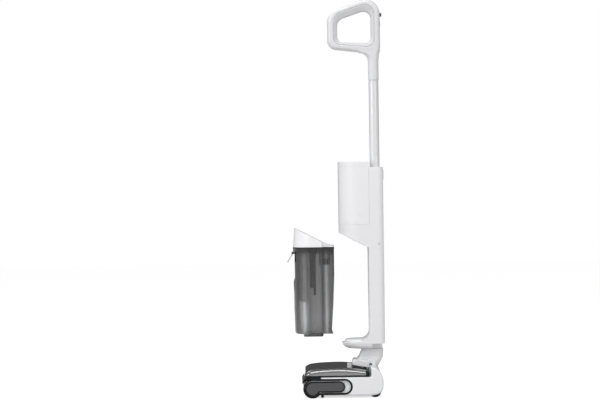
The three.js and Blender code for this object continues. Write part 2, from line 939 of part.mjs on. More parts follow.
function trayUnderside() {
  const top = body.shelfBottom - gap;
  const low = body.trayBottom;
  const levels = [
    [low, bodyPlan(-66, 40, 12)],
    [low + 0.8, bodyPlan(-71, 46, 13)],
    [low + 3.4, bodyPlan(-77.5, 51, 14)],
    [low + 7.4, bodyPlan(-83, 54.6, 15)],
    [low + 11, bodyPlan(-86, 56, 15)],
    [top, bodyPlan(-87, 56.6, 15)],
  ];
  const tray = loftZ(levels);
  const room = rodZ(collar.radius + slideGap, neck.axisX, 0, low - 5, top + 5, 40);
  const behind = block(neck.axisX, body.rear + 10, -80, 80, low - 5, top + 5);
  return cut(tray, room, behind);
}

function poleButton() {
  const outline = roundedRect(-10.6, 10.6, 600.5, 628, 5, 4);
  const cap = prismX(outline, body.rear - 1.8, body.rear + 2.4, 1, 2);
  return join(cap, block(body.rear - 5.4, body.rear + 1, -7, 7, 616, 626));
}

function batteryPack() {
  const cells = [];
  for (let row = 0; row < 3; row++) {
    for (let i = 0; i < 2; i++) {
      cells.push(rodY(8.9, 4.6 + i * 15.4, 488 + row * 18.4 + i * 9.3, -36, 36, 14));
    }
  }
  const spacer = block(9, 15.6, -34, 34, 484, 536);
  return join(spacer, block(-2, 3, -34, 34, 482, 530), ...cells);
}

const motor = { x: 1.5, bottom: 424, top: 468, radius: 24, wall: 2 };

function suctionMotor() {
  const can = turnedZ(
    [
      [0, motor.bottom + 16],
      [motor.radius - 6, motor.bottom + 16],
      [motor.radius - 2, motor.bottom + 14],
      [motor.radius - 2, motor.bottom + 2],
      [motor.radius, motor.bottom + 2],
      [motor.radius, motor.bottom + 22],
      [motor.radius - 7, motor.bottom + 26],
      [motor.radius - 7, motor.top - 2],
      [motor.radius - 9, motor.top],
      [0, motor.top],
    ],
    motor.x,
    0,
    36,
  );
  return can;
}

function suctionImpeller() {
  const r = motor.radius - 4;
  const disc = rodZ(r, motor.x, 0, motor.bottom + 10, motor.bottom + 12, 36);
  const hub = rodZ(5, motor.x, 0, motor.bottom + 3, motor.bottom + 13, 20);
  const vane = block(3.5, r - 0.6, -0.6, 0.6, motor.bottom + 5, motor.bottom + 10.5);
  const vanes = [];
  for (let i = 0; i < 9; i++) {
    vanes.push(vane.rotate([0, 0, i * 40]).translate(motor.x, 0, 0));
  }
  return join(disc, hub, ...vanes);
}

function waterPump() {
  const can = rodZ(10, 12, 33, 568, 596, 24);
  return join(can, block(2, 22, 24, 42, 562, 570), rodZ(2.4, 6, 28, 595, 603, 12));
}

function controlBoard() {
  const x = cavity.front + 1.6;
  const board = block(x, x + 1.6, -32, 32, 270, 370);
  const chips = [
    [-20, 290, 12],
    [8, 300, 16],
    [-6, 340, 10],
    [18, 350, 8],
  ].map(([y, z, size]) => block(x + 1.2, x + 4.2, y, y + size, z, z + size));
  return join(board, ...chips);
}

function suctionDuct() {
  const x = (cavity.front + cavity.rear) / 2 + 0.4;
  const outline = roundedRect(x - 4, x + 4, -17, 17, 3.8, 3);
  const bore = roundedRect(x - 2.6, x + 2.6, -15.4, 15.4, 2.4, 3);
  return cut(prismZ(outline, 176, 262), prismZ(bore, 175, 263));
}

// ---------------------------------------------------------------- clean water tank

function cleanTankPlan(inset) {
  return dPlan(body.front + inset, cleanTank.capRear - inset, body.halfWidth - inset, 3);
}

function cleanTankShell() {
  const low = body.skirtTop + gap;
  const high = cleanTank.top - gap;
  const shell = loftZ([
    [low, cleanTankPlan(1)],
    [low + 1, cleanTankPlan(0.1)],
    [high, cleanTankPlan(0.1)],
  ]);
  const hollow = loftZ([
    [low + wall + 0.5, cleanTankPlan(wall + 1)],
    [high + 5, cleanTankPlan(wall + 1)],
  ]);
  return cut(shell, hollow, rodZ(5, -60, 0, low - 5, low + 10, 20));
}

function cleanTankValve() {
  const z = body.skirtTop;
  const stem = rodZ(4.6, -60, 0, z - 4, z + 7, 20);
  return join(stem, rodZ(7.6, -60, 0, z + 3.9, z + 7, 24), rodZ(7.6, -60, 0, z - 4, z - 0.3, 24));
}

function cleanTankCap() {
  const low = cleanTank.top;
  const high = cleanTank.capTop;
  const levels = [
    [low, cleanTankPlan(0.2)],
    [high - 2.2, cleanTankPlan(0.2)],
    [high - 0.7, cleanTankPlan(0.9)],
    [high, cleanTankPlan(2.4)],
  ];
  const spigot = prismZ(cleanTankPlan(wall + 1.4), low - 7, low + 1);
  const filler = rodZ(14, -52, 0, low - 20, high + 5, 32);
  const hollow = prismZ(cleanTankPlan(wall + 3.4), low - 8, high - 4);
  const fingerDip = loftZ([
    [high - 5, roundedBoxAt(-26, 9, 20, 4)],
    [high + 1, roundedBoxAt(-26, 11, 23, 6)],
  ]);
  const skin = cut(join(loftZ(levels), spigot), hollow);
  const floor = prismZ(roundedBoxAt(-26, 12, 24, 4), high - 8, high - 3);
  const ring = rodZ(17, -52, 0, high - 9, high - 1, 32);
  return cut(join(skin, floor, ring), filler, fingerDip);
}

function roundedBoxAt(x, halfX, halfY, radius) {
  return roundedRect(x - halfX, x + halfX, -halfY, halfY, radius, 4);
}

function fillPlug() {
  const high = cleanTank.capTop;
  return turnedZ(
    [
      [0, high - 9],
      [12.6, high - 9],
      [13.6, high - 8],
      [13.6, high - 1],
      [12.9, high],
      [9, high],
      [8, high - 2],
      [0, high - 2],
    ],
    -52,
    0,
    32,
  );
}

// ---------------------------------------------------------------- dirty water tank, at its seat

// Plan of the dirty tank: a round-nosed wide part with a narrower tongue to the rear.
function tankPlan(front, half, tongueRear, inset = 0) {
  const rear = dirtyTank.wideRear - inset;
  const tongueHalf = dirtyTank.tongueHalf - inset;
  const wide = half - inset;
  const back = tongueRear - inset;
  const nose = arc(front + half, 0, wide, 90, 270, 14);
  const right = arc(rear - 3, -wide + 3, 3, -90, 0, 2);
  const left = arc(rear - 3, wide - 3, 3, 0, 90, 2);
  const tongueRight = arc(back - 8, -tongueHalf + 8, 8, -90, 0, 4);
  const tongueLeft = arc(back - 8, tongueHalf - 8, 8, 0, 90, 4);
  const tongue = [[rear, -tongueHalf], ...tongueRight, ...tongueLeft, [rear, tongueHalf]];
  return [...nose, ...right, ...tongue, ...left];
}

// Height above the foot, front behind the rim's front, half width, tongue's rear ahead of the rim's.
const tankLevels = [
  [0, 7, dirtyTank.halfFoot - 4, 5.5],
  [3, 3.9, dirtyTank.halfFoot - 1, 5],
  [8, 3.1, dirtyTank.halfFoot, 7.9],
  [14, 2.9, dirtyTank.halfFoot + 0.1, 8.3],
  [30, 2.5, dirtyTank.halfFoot + 0.3, 7.3],
  [80, 1.5, dirtyTank.halfFoot + 1, 3.9],
  [162, 0.9, dirtyTank.halfTop - 1.8, 0.6],
  [235.5, 0.6, dirtyTank.halfTop - 1, 0.4],
];

function tankBody(inset, high) {
  const { foot, front, tongueRear } = dirtyTank;
  const levels = tankLevels.map(([up, back, half, ahead]) => [
    foot + up + (up ? 0 : inset),
    tankPlan(front + back, half, tongueRear - ahead, inset),
  ]);
  levels.push([high, levels.at(-1)[1]]);
  return loftZ(levels);
}

// The finger pocket in the tank's front, behind the latch.
function fingerPocket(grow) {
  const outline = [
    [dirtyTank.front - 9, 302],
    [dirtyTank.front + 1.5 + grow, 302 - grow],
    [dirtyTank.front + 4.4 + grow, 312 - grow],
    [dirtyTank.front + 4.4 + grow, 378 + grow],
    [dirtyTank.front + 4.4 + grow, 386.5 + grow],
    [dirtyTank.front - 9, 386.5 + grow],
  ];
  return prismY(outline, -22 - grow, 22 + grow);
}

function dirtyTankShell() {
  const t = dirtyTank;
  const outer = tankBody(0, t.rimTop - 1.5);
  const inner = tankBody(t.wall, t.rimTop + 9);
  const rim = prismZ(tankPlan(t.front, t.halfTop, t.tongueRear), t.rimBottom, t.rimTop);
  const boss = prismZ(roundedBoxAt(-43, 28, t.bossHalf, 12), t.bossBottom, t.foot + 3, 1.2, 1);
  const bossInner = roundedBoxAt(-43, 25.6, t.bossHalf - 2.4, 10);
  const bossHollow = prismZ(bossInner, t.bossBottom + 2.4, t.foot + 4);
  const hollow = cut(inner, fingerPocket(t.wall));
  const clipped = cut(hollow, block(-200, 60, -90, 90, t.rimTop + 5, t.rimTop + 20));
  const lugY = latch.halfWidth + 4.4;
  const hinge = join(
    rodY(3.4, t.front - 0.6, latch.z, -lugY, lugY, 20),
    block(t.front - 0.6, t.front + 7.2, -lugY, lugY, latch.z - 2.5, latch.z + 2.5),
  );
  const lugs = cut(hinge, block(-200, 0, -latch.halfWidth - gap, latch.halfWidth + gap, 300, 400));
  const body = cut(join(outer, rim, boss), bossHollow, clipped, fingerPocket(0));
  const pinHalf = latch.halfWidth + 1.8;
  const pinBore = rodY(1.3 + gap, t.front - 0.6, latch.z, -pinHalf, pinHalf, 16);
  return cut(join(body, lugs), pinBore);
}

function tankLatch() {
  const { z, length, thickness, halfWidth } = latch;
  const x = dirtyTank.front - 0.6;
  const flap = prismY(
    roundedRect(x - 1.4, x + 1.8, z - length, z + 1, 1.2, 3),
    -halfWidth,
    halfWidth,
    0.6,
    1,
  );
  const barrel = rodY(thickness, x, z, -halfWidth, halfWidth, 20);
  const bore = rodY(1.3 + gap, x, z, -halfWidth - 1, halfWidth + 1, 16);
  const openFlap = flap
    .translate(-x, 0, -z)
    .rotate([0, latch.openDegrees, 0])
    .translate(x, 0, z);
  return cut(join(openFlap, barrel), bore);
}

// ---------------------------------------------------------------- dirty tank's lid and its fittings

const lidTop = [
  [dirtyTank.front + 1.4, lid.peak - 0.4],
  [dirtyTank.front + 3.4, lid.peak],
  [-74, 442.6],
  [-24, 417],
  [-5, 406.2],
  [4, 403.6],
  [dirtyTank.tongueRear - 0.6, 402.6],
];

function lidBlock(inset, drop, low) {
  const profile = [...lidTop.map(([x, z]) => [x, z - drop]), [40, 402.6 - drop], [40, low], [-120, low]];
  profile.push([-120, lid.peak - 0.4 - drop]);
  const side = prismY(profile, -80, 80);
  const t = dirtyTank;
  return side.intersect(prismZ(tankPlan(t.front, t.halfTop, t.tongueRear, inset + 0.4), low - 1, 470));
}

function tankLid() {
  const low = dirtyTank.rimTop + gap;
  const shell = lidBlock(0, 0, low);
  const hollow = lidBlock(lid.wall, lid.wall, low - 4);
  const pocket = lidPocket(gap);
  const ledge = lidBlock(0.2, 0, low).intersect(block(-67, -15, -29, 29, low + 2, 460));
  const thick = cut(ledge, block(-64, -18, -26, 26, 380, 428 - 20));
  return cut(join(cut(shell, hollow), thick), pocket);
}

// The pocket in the slanted top that holds the filter.
function lidPocket(extra) {
  const plan = prismZ(roundedBoxAt(-41.5, 18 + extra, 20 + extra, 5), 380, 470);
  const band = prismY(
    [
      [-80, 442.6 - 3.1 - 9 - extra],
      [0, 442.6 - 40.9 - 9 - extra],
      [0, 460],
      [-80, 460],
    ],
    -60,
    60,
  );
  return plan.intersect(band);
}

function tankFilter() {
  const plan = prismZ(roundedBoxAt(-41.5, 17.7, 19.7, 4.7), 380, 470);
  const topAt = (x) => 442.6 - 0.512 * (x + 74);
  const pleats = [];
  const count = 12;
  const step = 38 / count;
  for (let i = 0; i <= count; i++) {
    const x = -60.5 + i * step;
    pleats.push([x, topAt(x) - 2.2]);
    pleats.push([x + step / 2, topAt(x + step / 2) - 5.2]);
  }
  const profile = [[-61, topAt(-61) - 8.8], [-20, topAt(-20) - 8.8], ...pleats.reverse()];
  return plan.intersect(prismY(profile, -40, 40));
}

function lidSeal() {
  const t = dirtyTank;
  const ring = (inset, z0, z1) => prismZ(tankPlan(t.front, t.halfTop, t.tongueRear, inset), z0, z1);
  return cut(ring(3.8, t.rimTop - 4, t.rimTop - 0.4), ring(6.6, t.rimTop - 5, t.rimTop));
}

function inletPipe() {
  const high = 394;
  const main = rodZ(7.6, -44, 0, 284, high, 28);
  const centre = rodZ(4, -38, 15, 262, high, 20);
  const second = rodZ(3.4, -47.5, -12.5, 290, high, 20);
  const bridge = block(-54, -30, -18, 20, high - 12, high);
  return cut(join(main, centre, second, bridge), rodZ(6, -44, 0, 280, high + 5, 28));
}

// A D-shaped cup with a slanted, pierced floor that holds back hair and coarse dirt.
function strainerBasket() {
  const t = dirtyTank;
  const plan = (inset) =>
    cut(
      rodZ(42.4 - inset, t.front + 51.6, 0, 230, 396, 40),
      block(-56 - inset, 60, -80, 80, 220, 400),
    );
  const slope = (lift) =>
    prismY(
      [
        [-110, 258 + lift],
        [-30, 236 + lift],
        [-30, 400],
        [-110, 400],
      ],
      -60,
      60,
    );
  const cup = cut(plan(0).intersect(slope(0)), plan(1.8).intersect(slope(2)));
  const top = block(-120, 0, -80, 80, 392, 400);
  const lipRing = cut(
    rodZ(43.6, t.front + 51.6, 0, 373, 377, 40),
    rodZ(40.8, t.front + 51.6, 0, 370, 380, 40),
    block(-57, 60, -80, 80, 370, 380),
  );
  const holes = [];
  for (let row = 0; row < 3; row++) {
    for (let i = -2; i <= 2; i++) holes.push(rodZ(1.9, -75.3 + row * 7, i * 8.6, 232, 262, 10));
  }
  return cut(join(cup, lipRing), top, ...holes);
}

function floatHousing() {
  const outer = prismZ(roundedBoxAt(-9.5, 15.5, 18, 4), 347, 392.5);
  const inner = prismZ(roundedBoxAt(-9.5, 13.4, 15.9, 3), 349, 400);
  const windows = [-12, -4, 4, 12].map((y) => block(-9.5 - 20, -9.5 + 20, y - 2, y + 2, 353, 372));
  return cut(outer, inner, ...windows);
}

function tankFloat() {
  return turnedZ(
    [
      [0, 349.3],
      [10, 349.3],
      [11.5, 350.8],
      [11.5, 363],
      [9, 366],
      [0, 366],
    ],
    -9.5,
    0,
    28,
  );
}

// ---------------------------------------------------------------- handle

// One cross-section of the loop between two matched points: reach 0 is the first, 1 the second.
function ringSection([x0, z0], [x1, z1], section) {
  return section.map(([reach, y]) => [x0 + (x1 - x0) * reach, y, z0 + (z1 - z0) * reach]);
}

function loopRing(from, to, section) {
  const steps = 6;
  const a = rounded(from, steps);
  const b = rounded(to, steps);
  return loft(a.map((point, i) => ringSection(point, b[i], section)), true);
}

function handleShell() {
  const t = grip.halfThickness;
  const half = [
    [0, t],
    [0.3, t],
    [0.66, t * 0.88],
    [0.9, t * 0.58],
    [1, t * 0.2],
  ];
  const section = [...half, ...half.map(([u, y]) => [u, -y]).reverse()];
  const ring = loopRing(loopCrease, loopOuter, section);
  const opening = prismY(rounded(loopCrease, 6), -60, 60);
  const neckPart = cut(loftZ(handleNeckLevels()), opening);
  const bore = rodZ(pole.radius + gap, pole.x, 0, sleeve.bottom - 5, pole.top + gap, 36);
  const pockets = [powerPocket(gap), modePocket(gap)];
  return cut(join(ring, neckPart), bore, ...pockets);
}

// The sleeve under the loop: round below, drawn out to the front where it meets the loop.
function handleNeckLevels() {
  const radius = 26;
  const bottomBar = 957;
  const front = pole.x - sleeve.radius;
  const levels = [[sleeve.bottom, front, pole.x + sleeve.radius]];
  levels.push([sleeve.bottom + 50, front, pole.x + sleeve.radius]);
  for (const z of [934, 940, 945, 950, 954, bottomBar]) {
    const rise = z - (bottomBar - radius);
    const reach = Math.sqrt(Math.max(radius * radius - rise * rise, 0));
    levels.push([z, front - radius + reach, pole.x + sleeve.radius + (z - 934) * 0.1]);
  }
  levels.push([968, -40, 29.5]);
  levels.push([990, -20, 30.6]);
  return levels.map(([z, x0, x1]) => [z, roundedBox(x0, x1, sleeve.radius - 0.4, 15)]);
}

function handleGrip() {
  const t = grip.linerHalfThickness;
  const half = [
    [0.04, t],
    [0.2, t],
    [0.86, t * 0.66],
    [1, t * 0.44],
  ];
  const section = [...half, ...half.map(([u, y]) => [u, -y]).reverse()];
  const shrink = loopCrease.map(([x, z, r], i) => [
    x + (i === 0 || i === 3 ? gap : -gap),
    z + (i < 2 ? gap : -gap),
    r,
  ]);
  return loopRing(shrink, loopInner, section);
}

function powerPocket(extra) {
  return block(24 - extra, 40, -5.4 - extra, 5.4 + extra, 1058 - extra, 1068.6 + extra);
}

function modePocket(extra) {
  return block(24 - extra, 40, -5.4 - extra, 5.4 + extra, 1030 - extra, 1044 + extra);
}

function thumbButton(z0, z1, proud) {
  const face = loopOuter[1][0];
  const outline = roundedRect(-5.4, 5.4, z0, z1, 3, 3);
  return prismX(outline, face - 4.4, face + proud, 0.8, 2);
}

function poleTube() {
  return cut(
    rodZ(pole.radius, pole.x, 0, pole.foot, pole.top, 36),
    rodZ(pole.radius - pole.wall, pole.x, 0, pole.foot - 1, pole.top + 1, 36),
  );
}

// ---------------------------------------------------------------- the whole machine

const machine = new THREE.Group();
const headGroup = new THREE.Group();
const bodyGroup = new THREE.Group();
const tankGroup = new THREE.Group();
const handleGroup = new THREE.Group();
tankGroup.position.copy(tankDrawnOut);
machine.add(headGroup, bodyGroup, tankGroup, handleGroup);

piece(headGroup, "head_base", cut(headBase(), armSeat(), onSide(armSeat(), 1)), "white");
piece(headGroup, "floor_squeegee", floorSqueegee(), "rubber");
piece(headGroup, "roller_scraper", rollerScraper(), "black");
piece(headGroup, "front_lip", frontLip(), "black");
piece(headGroup, "roller_core", rollerCore(), "darkGrey");
piece(headGroup, "roller_sleeve", rollerSleeve(), "fabric");
piece(headGroup, "roller_motor", rollerMotor(), "metal");
piece(headGroup, "brush_window", brushWindow(), "smoke");
piece(headGroup, "window_frame", windowFrame(), "black");
piece(headGroup, "spray_bar", sprayBar(), "black");
piece(headGroup, "window_release_button", releaseButton(), "white");
piece(
  headGroup,
  "recline_pin",
  rodY(pivot.pinRadius, pivot.x, pivot.z, 2.6 - head.slotHalf, head.slotHalf - 2.6, 24),
  "metal",
);
for (const [side, sign] of sides) {
  piece(headGroup, "side_trim_" + side, onSide(sideTrim(), sign), "black");
  piece(headGroup, "roller_arm_" + side, onSide(rollerArm(), sign), "darkGrey");
  piece(headGroup, "wheel_" + side, wheelSolid(sign), "rubber");
  const half = wheel.middle;
  const wheelAxle = rodY(wheel.boreRadius - 2 * gap, axle.x, axle.z, -half - 15, -half + 15, 20);
  piece(headGroup, "wheel_axle_" + side, onSide(wheelAxle, sign), "metal");
  const capY = 1 - head.slotHalf;
  const pivotCap = rodY(pivot.pinRadius, pivot.x, pivot.z, capY - 0.4, capY + 1.2, 24);
  piece(headGroup, "pivot_cap_" + side, onSide(pivotCap, sign), "darkGrey");
}

piece(headGroup, "swivel_neck", swivelNeck(), "grey");
piece(bodyGroup, "swivel_collar", swivelCollar(), "grey");
piece(bodyGroup, "tray_underside", trayUnderside(), "grey");
piece(bodyGroup, "main_housing", mainHousing(), "white");
piece(bodyGroup, "rear_cover", rearCover(), "white");
piece(bodyGroup, "tank_seal", sealRing(0, 0.6, 3), "rubber");
piece(bodyGroup, "pole_release_button", poleButton(), "grey");
piece(bodyGroup, "battery_pack", batteryPack(), "cell");
piece(bodyGroup, "suction_motor", suctionMotor(), "metal");
piece(bodyGroup, "suction_impeller", suctionImpeller(), "black");
piece(bodyGroup, "water_pump", waterPump(), "black");
piece(bodyGroup, "control_board", controlBoard(), "board");
piece(bodyGroup, "suction_duct", suctionDuct(), "darkGrey");
for (const [side, sign] of sides) {
  piece(bodyGroup, "screw_cap_" + side, onSide(screwCap(), sign), "darkGrey");
  piece(bodyGroup, "charging_contact_" + side, onSide(chargingContact(), sign), "brass");
}
piece(bodyGroup, "clean_tank", cleanTankShell(), "milkWhite");
piece(bodyGroup, "clean_tank_cap", cleanTankCap(), "white");
piece(bodyGroup, "clean_tank_valve", cleanTankValve(), "rubber");
piece(bodyGroup, "fill_plug", fillPlug(), "grey");

piece(tankGroup, "dirty_tank", dirtyTankShell(), "smoke");
piece(tankGroup, "tank_latch", tankLatch(), "grey");
const latchPin = rodY(
  1.3,
  dirtyTank.front - 0.6,
  latch.z,
  -latch.halfWidth - 1.5,
  latch.halfWidth + 1.5,
  16,
);
piece(tankGroup, "latch_pin", latchPin, "metal");
piece(tankGroup, "tank_lid", tankLid(), "white");
piece(tankGroup, "lid_seal", lidSeal(), "rubber");
piece(tankGroup, "inlet_pipe", inletPipe(), "black");
piece(tankGroup, "strainer_basket", strainerBasket(), "smoke");
piece(tankGroup, "float_housing", floatHousing(), "black");
piece(tankGroup, "tank_float", tankFloat(), "darkGrey");
piece(tankGroup, "tank_filter", tankFilter(), "white");

piece(handleGroup, "handle_shell", handleShell(), "white");
piece(handleGroup, "handle_grip", handleGrip(), "grey");
piece(handleGroup, "pole_tube", poleTube(), "metal");
piece(handleGroup, "power_button", thumbButton(1058.4, 1068.2, 4.6), "darkGrey");
piece(handleGroup, "mode_button", thumbButton(1030.4, 1043.6, 0.9), "grey");

// The origin is the middle of the foot of the whole machine's box.
const box = new THREE.Box3().setFromObject(machine);
const middle = box.getCenter(new THREE.Vector3());
machine.position.set(-middle.x, -middle.y, -box.min.z);

export default machine;
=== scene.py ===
"""Looks of the wet and dry floor scrubber: finishes, fine shells, studio and camera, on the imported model.

Metres, +Z up, front of the machine towards -X. mm() turns the design's millimetres into the row frame:
design x = 0 is the rear axle, and the row frame's origin lies OFFSET_X behind it.
"""
import json
import math

import bmesh
import bpy
from mathutils import Matrix, Vector


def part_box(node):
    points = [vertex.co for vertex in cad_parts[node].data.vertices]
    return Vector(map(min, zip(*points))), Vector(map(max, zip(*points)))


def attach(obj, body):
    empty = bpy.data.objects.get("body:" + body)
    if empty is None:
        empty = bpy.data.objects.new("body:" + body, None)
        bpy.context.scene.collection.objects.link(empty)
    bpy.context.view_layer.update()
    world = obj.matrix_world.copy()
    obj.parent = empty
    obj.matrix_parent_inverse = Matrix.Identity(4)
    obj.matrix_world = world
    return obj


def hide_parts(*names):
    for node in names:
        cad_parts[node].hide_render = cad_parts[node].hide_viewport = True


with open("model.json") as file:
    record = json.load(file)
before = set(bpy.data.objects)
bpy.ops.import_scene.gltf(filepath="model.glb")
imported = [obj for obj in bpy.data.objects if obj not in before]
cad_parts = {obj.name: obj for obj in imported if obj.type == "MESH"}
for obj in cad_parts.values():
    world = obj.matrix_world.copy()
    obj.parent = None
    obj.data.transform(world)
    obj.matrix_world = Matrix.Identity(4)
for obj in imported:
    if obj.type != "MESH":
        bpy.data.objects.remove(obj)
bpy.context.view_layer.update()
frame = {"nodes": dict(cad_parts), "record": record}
wheel_low, wheel_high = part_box("wheel_left")
OFFSET_X = (wheel_low.x + wheel_high.x) / 2 * 1000  # the rear axle in the row frame, in millimetres


def mm(x, y, z):
    """A design point in millimetres as a row-frame point in metres."""
    return Vector(((x + OFFSET_X) / 1000, y / 1000, z / 1000))


# ------------ outlines, in design millimetres


def arc(cx, cy, radius, start, end, steps):
    """Points on an arc, angles in degrees."""
    turns = [math.radians(start + (end - start) * i / steps) for i in range(steps + 1)]
    return [(cx + radius * math.cos(a), cy + radius * math.sin(a)) for a in turns]


def rounded(corners, steps):
    """A closed outline through (x, y, radius) corners. Radius 0 keeps the corner sharp."""
    points = []
    for i, (x, y, radius) in enumerate(corners):
        if not radius:
            points.append((x, y))
            continue
        corner = Vector((x, y))
        before = (Vector(corners[i - 1][:2]) - corner).normalized()
        after = (Vector(corners[(i + 1) % len(corners)][:2]) - corner).normalized()
        half = before.angle(after) / 2
        centre = corner + (before + after).normalized() * (radius / math.sin(half))
        start = corner + before * (radius / math.tan(half)) - centre
        end = corner + after * (radius / math.tan(half)) - centre
        turn = math.atan2(start.x * end.y - start.y * end.x, start.dot(end))
        for k in range(steps + 1):
            spoke = Matrix.Rotation(turn * k / steps, 2) @ start
            points.append(tuple(centre + spoke))
    return points


def rectangle(x0, x1, y0, y1, radius, steps):
    """A closed outline of a rectangle with rounded corners."""
    return rounded([(x0, y0, radius), (x1, y0, radius), (x1, y1, radius), (x0, y1, radius)], steps)


def box_plan(x0, x1, half, radius, steps=8):
    """A rounded rectangle about the machine's middle, its radius held to what fits."""
    radius = min(radius, (x1 - x0) / 2 - 0.1, half - 0.1)
    return rectangle(x0, x1, -half, half, radius, steps)


def d_plan(front, rear, half, corner):
    """The body's plan from above: a half-round nose and a straight back."""
    nose = arc(front + half, 0, half, 90, 270, 48)
    right = arc(rear - corner, -half + corner, corner, -90, 0, 6)
    left = arc(rear - corner, half - corner, corner, 0, 90, 6)
    return nose + right + left


def mirrored(points):
    """The points of (u, v) in reverse with v turned over, to go back down the other side."""
    return [(u, -v) for u, v in reversed(points)]


def span(side, outer, inner):
    """A stretch along Y on one side of the machine, low end first."""
    return sorted((side * outer, side * inner))


def catmull_rom(p, q, r, s, t):
    return 0.5 * (2 * q + (r - p) * t + (2 * p - 5 * q + 4 * r - s) * t**2 + (3 * q - p - 3 * r + s) * t**3)


def smooth_path(keys, steps):
    """Catmull-Rom through the keys, which may hold any number of values each."""
    points = []
    for i in range(len(keys) - 1):
        a, b = keys[max(i - 1, 0)], keys[i]
        c, d = keys[i + 1], keys[min(i + 2, len(keys) - 1)]
        for k in range(steps):
            points.append(tuple(catmull_rom(*values, k / steps) for values in zip(a, b, c, d)))
    return points + [tuple(keys[-1])]


# ------------ meshes


def from_bmesh(name, shape):
    bmesh.ops.remove_doubles(shape, verts=shape.verts, dist=1e-7)
    bmesh.ops.recalc_face_normals(shape, faces=shape.faces)
    data = bpy.data.meshes.new(name)
    shape.to_mesh(data)
    shape.free()
    made = bpy.data.objects.new(name, data)
    bpy.context.scene.collection.objects.link(made)
    return made


def loft(name, rings, closed=False):
    """Skins equal-length rings of (x, y, z) design points. An open loft gets a cap at each end."""
    shape = bmesh.new()
    rows = [[shape.verts.new(mm(*point)) for point in ring] for ring in rings]
    pairs = list(zip(rows, rows[1:] + rows[:1])) if closed else list(zip(rows, rows[1:]))
    for low, high in pairs:
        for i in range(len(low)):
            k = (i + 1) % len(low)
            shape.faces.new((low[i], low[k], high[k], high[i]))
    if not closed:
        shape.faces.new(rows[0][::-1])
        shape.faces.new(rows[-1])
    return from_bmesh(name, shape)


def loft_z(name, levels):
    """A loft through plans at rising heights: levels are (z, plan)."""
    return loft(name, [[(x, y, z) for x, y in plan] for z, plan in levels])


def prism_x(name, outline, x0, x1):
    return loft(name, [[(x, y, z) for y, z in outline] for x in (x0, x1)])


def prism_y(name, outline, y0, y1):
    return loft(name, [[(x, y, z) for x, z in outline] for y in (y0, y1)])


def prism_z(name, plan, z0, z1):
    return loft_z(name, [(z0, plan), (z1, plan)])


def block(name, x0, x1, y0, y1, z0, z1):
    return prism_z(name, [(x0, y0), (x1, y0), (x1, y1), (x0, y1)], z0, z1)


def rod_y(name, radius, x, z, y0, y1, sides):
    return prism_y(name, arc(x, z, radius, 0, 360 - 360 / sides, sides - 1), y0, y1)


def rod_z(name, radius, x, y, z0, z1, sides):
    return prism_z(name, arc(x, y, radius, 0, 360 - 360 / sides, sides - 1), z0, z1)


def turned(name, profile, place, axis, sides):
    """A profile of (radius, offset) points turned round an axis through place."""
    shape = bmesh.new()
    rows = []
    for i in range(sides):
        a = math.tau * i / sides
        ring = []
        for radius, offset in profile:
            u, v = radius * math.cos(a), radius * math.sin(a)
            point = (u, v, offset) if axis == "Z" else (u, offset, v)
            ring.append(shape.verts.new(mm(*(p + q for p, q in zip(place, point)))))
        rows.append(ring)
    for here, there in zip(rows, rows[1:] + rows[:1]):
        for i in range(len(profile) - 1):
            if profile[i][0] == profile[i + 1][0] == 0:
                continue
            shape.faces.new((here[i], there[i], there[i + 1], here[i + 1]))
    bmesh.ops.remove_doubles(shape, verts=shape.verts, dist=1e-7)
    bmesh.ops.dissolve_degenerate(shape, edges=shape.edges, dist=1e-7)
    return from_bmesh(name, shape)


def apply_modifiers(piece):
    graph = bpy.context.evaluated_depsgraph_get()
    data = bpy.data.meshes.new_from_object(piece.evaluated_get(graph))
    old = piece.data
    piece.modifiers.clear()
    piece.data = data
    bpy.data.meshes.remove(old)
    return piece


def combine(piece, tools, operation):
    for tool in tools:
        step = piece.modifiers.new("solid", "BOOLEAN")
        step.operation = operation
        step.solver = "EXACT"
        step.object = tool
    apply_modifiers(piece)
    for tool in tools:
        bpy.data.objects.remove(tool)
    return piece


def carve(piece, *tools):
    return combine(piece, tools, "DIFFERENCE")


def fuse(piece, *tools):
    return combine(piece, tools, "UNION")


def bevel(piece, width, segments, angle):
    """Adds a rounding of the edges sharper than the angle. The width is in millimetres."""
    step = piece.modifiers.new("edges", "BEVEL")
    step.width = width / 1000
    step.segments = segments
    step.limit_method = "ANGLE"
    step.angle_limit = math.radians(angle)
    return step


def ease(piece, width, segments, angle=32):
    """Merges doubled points, then rounds the edges sharper than the angle."""
    clean = bmesh.new()
    clean.from_mesh(piece.data)
    bmesh.ops.remove_doubles(clean, verts=clean.verts, dist=2e-6)
    bmesh.ops.dissolve_degenerate(clean, edges=clean.edges, dist=2e-6)
    clean.to_mesh(piece.data)
    clean.free()
    step = bevel(piece, width, segments, angle)
    step.use_clamp_overlap = True
    step.miter_outer = "MITER_ARC"
    return apply_modifiers(piece)


def blend(piece, cell, rounds):
    """Turns joined solids into one skin with soft inner corners. The cell is in millimetres."""
    skin = piece.modifiers.new("skin", "REMESH")
    skin.mode = "VOXEL"
    skin.voxel_size = cell / 1000
    soft = piece.modifiers.new("soft", "SMOOTH")
    soft.factor = 0.5
    soft.iterations = rounds
    return apply_modifiers(piece)


def cover(piece, material, angle):
    """Gives a piece its material and smooth faces. Edges sharper than the angle stay sharp."""
    piece.data.materials.clear()
    piece.data.materials.append(FINISH[material])
    for polygon in piece.data.polygons:
        polygon.use_smooth = True
    piece.data.set_sharp_from_angle(angle=math.radians(angle))


def place(piece, body, slot, replaces, material=None):
    """Gives a piece its finish and its body, and hides the CAD nodes it stands for."""
    cover(piece, material or slot, 35)
    step = piece.modifiers.new("normals", "WEIGHTED_NORMAL")
    step.keep_sharp = True
    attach(piece, body)
    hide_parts(*replaces)


# ------------ camera

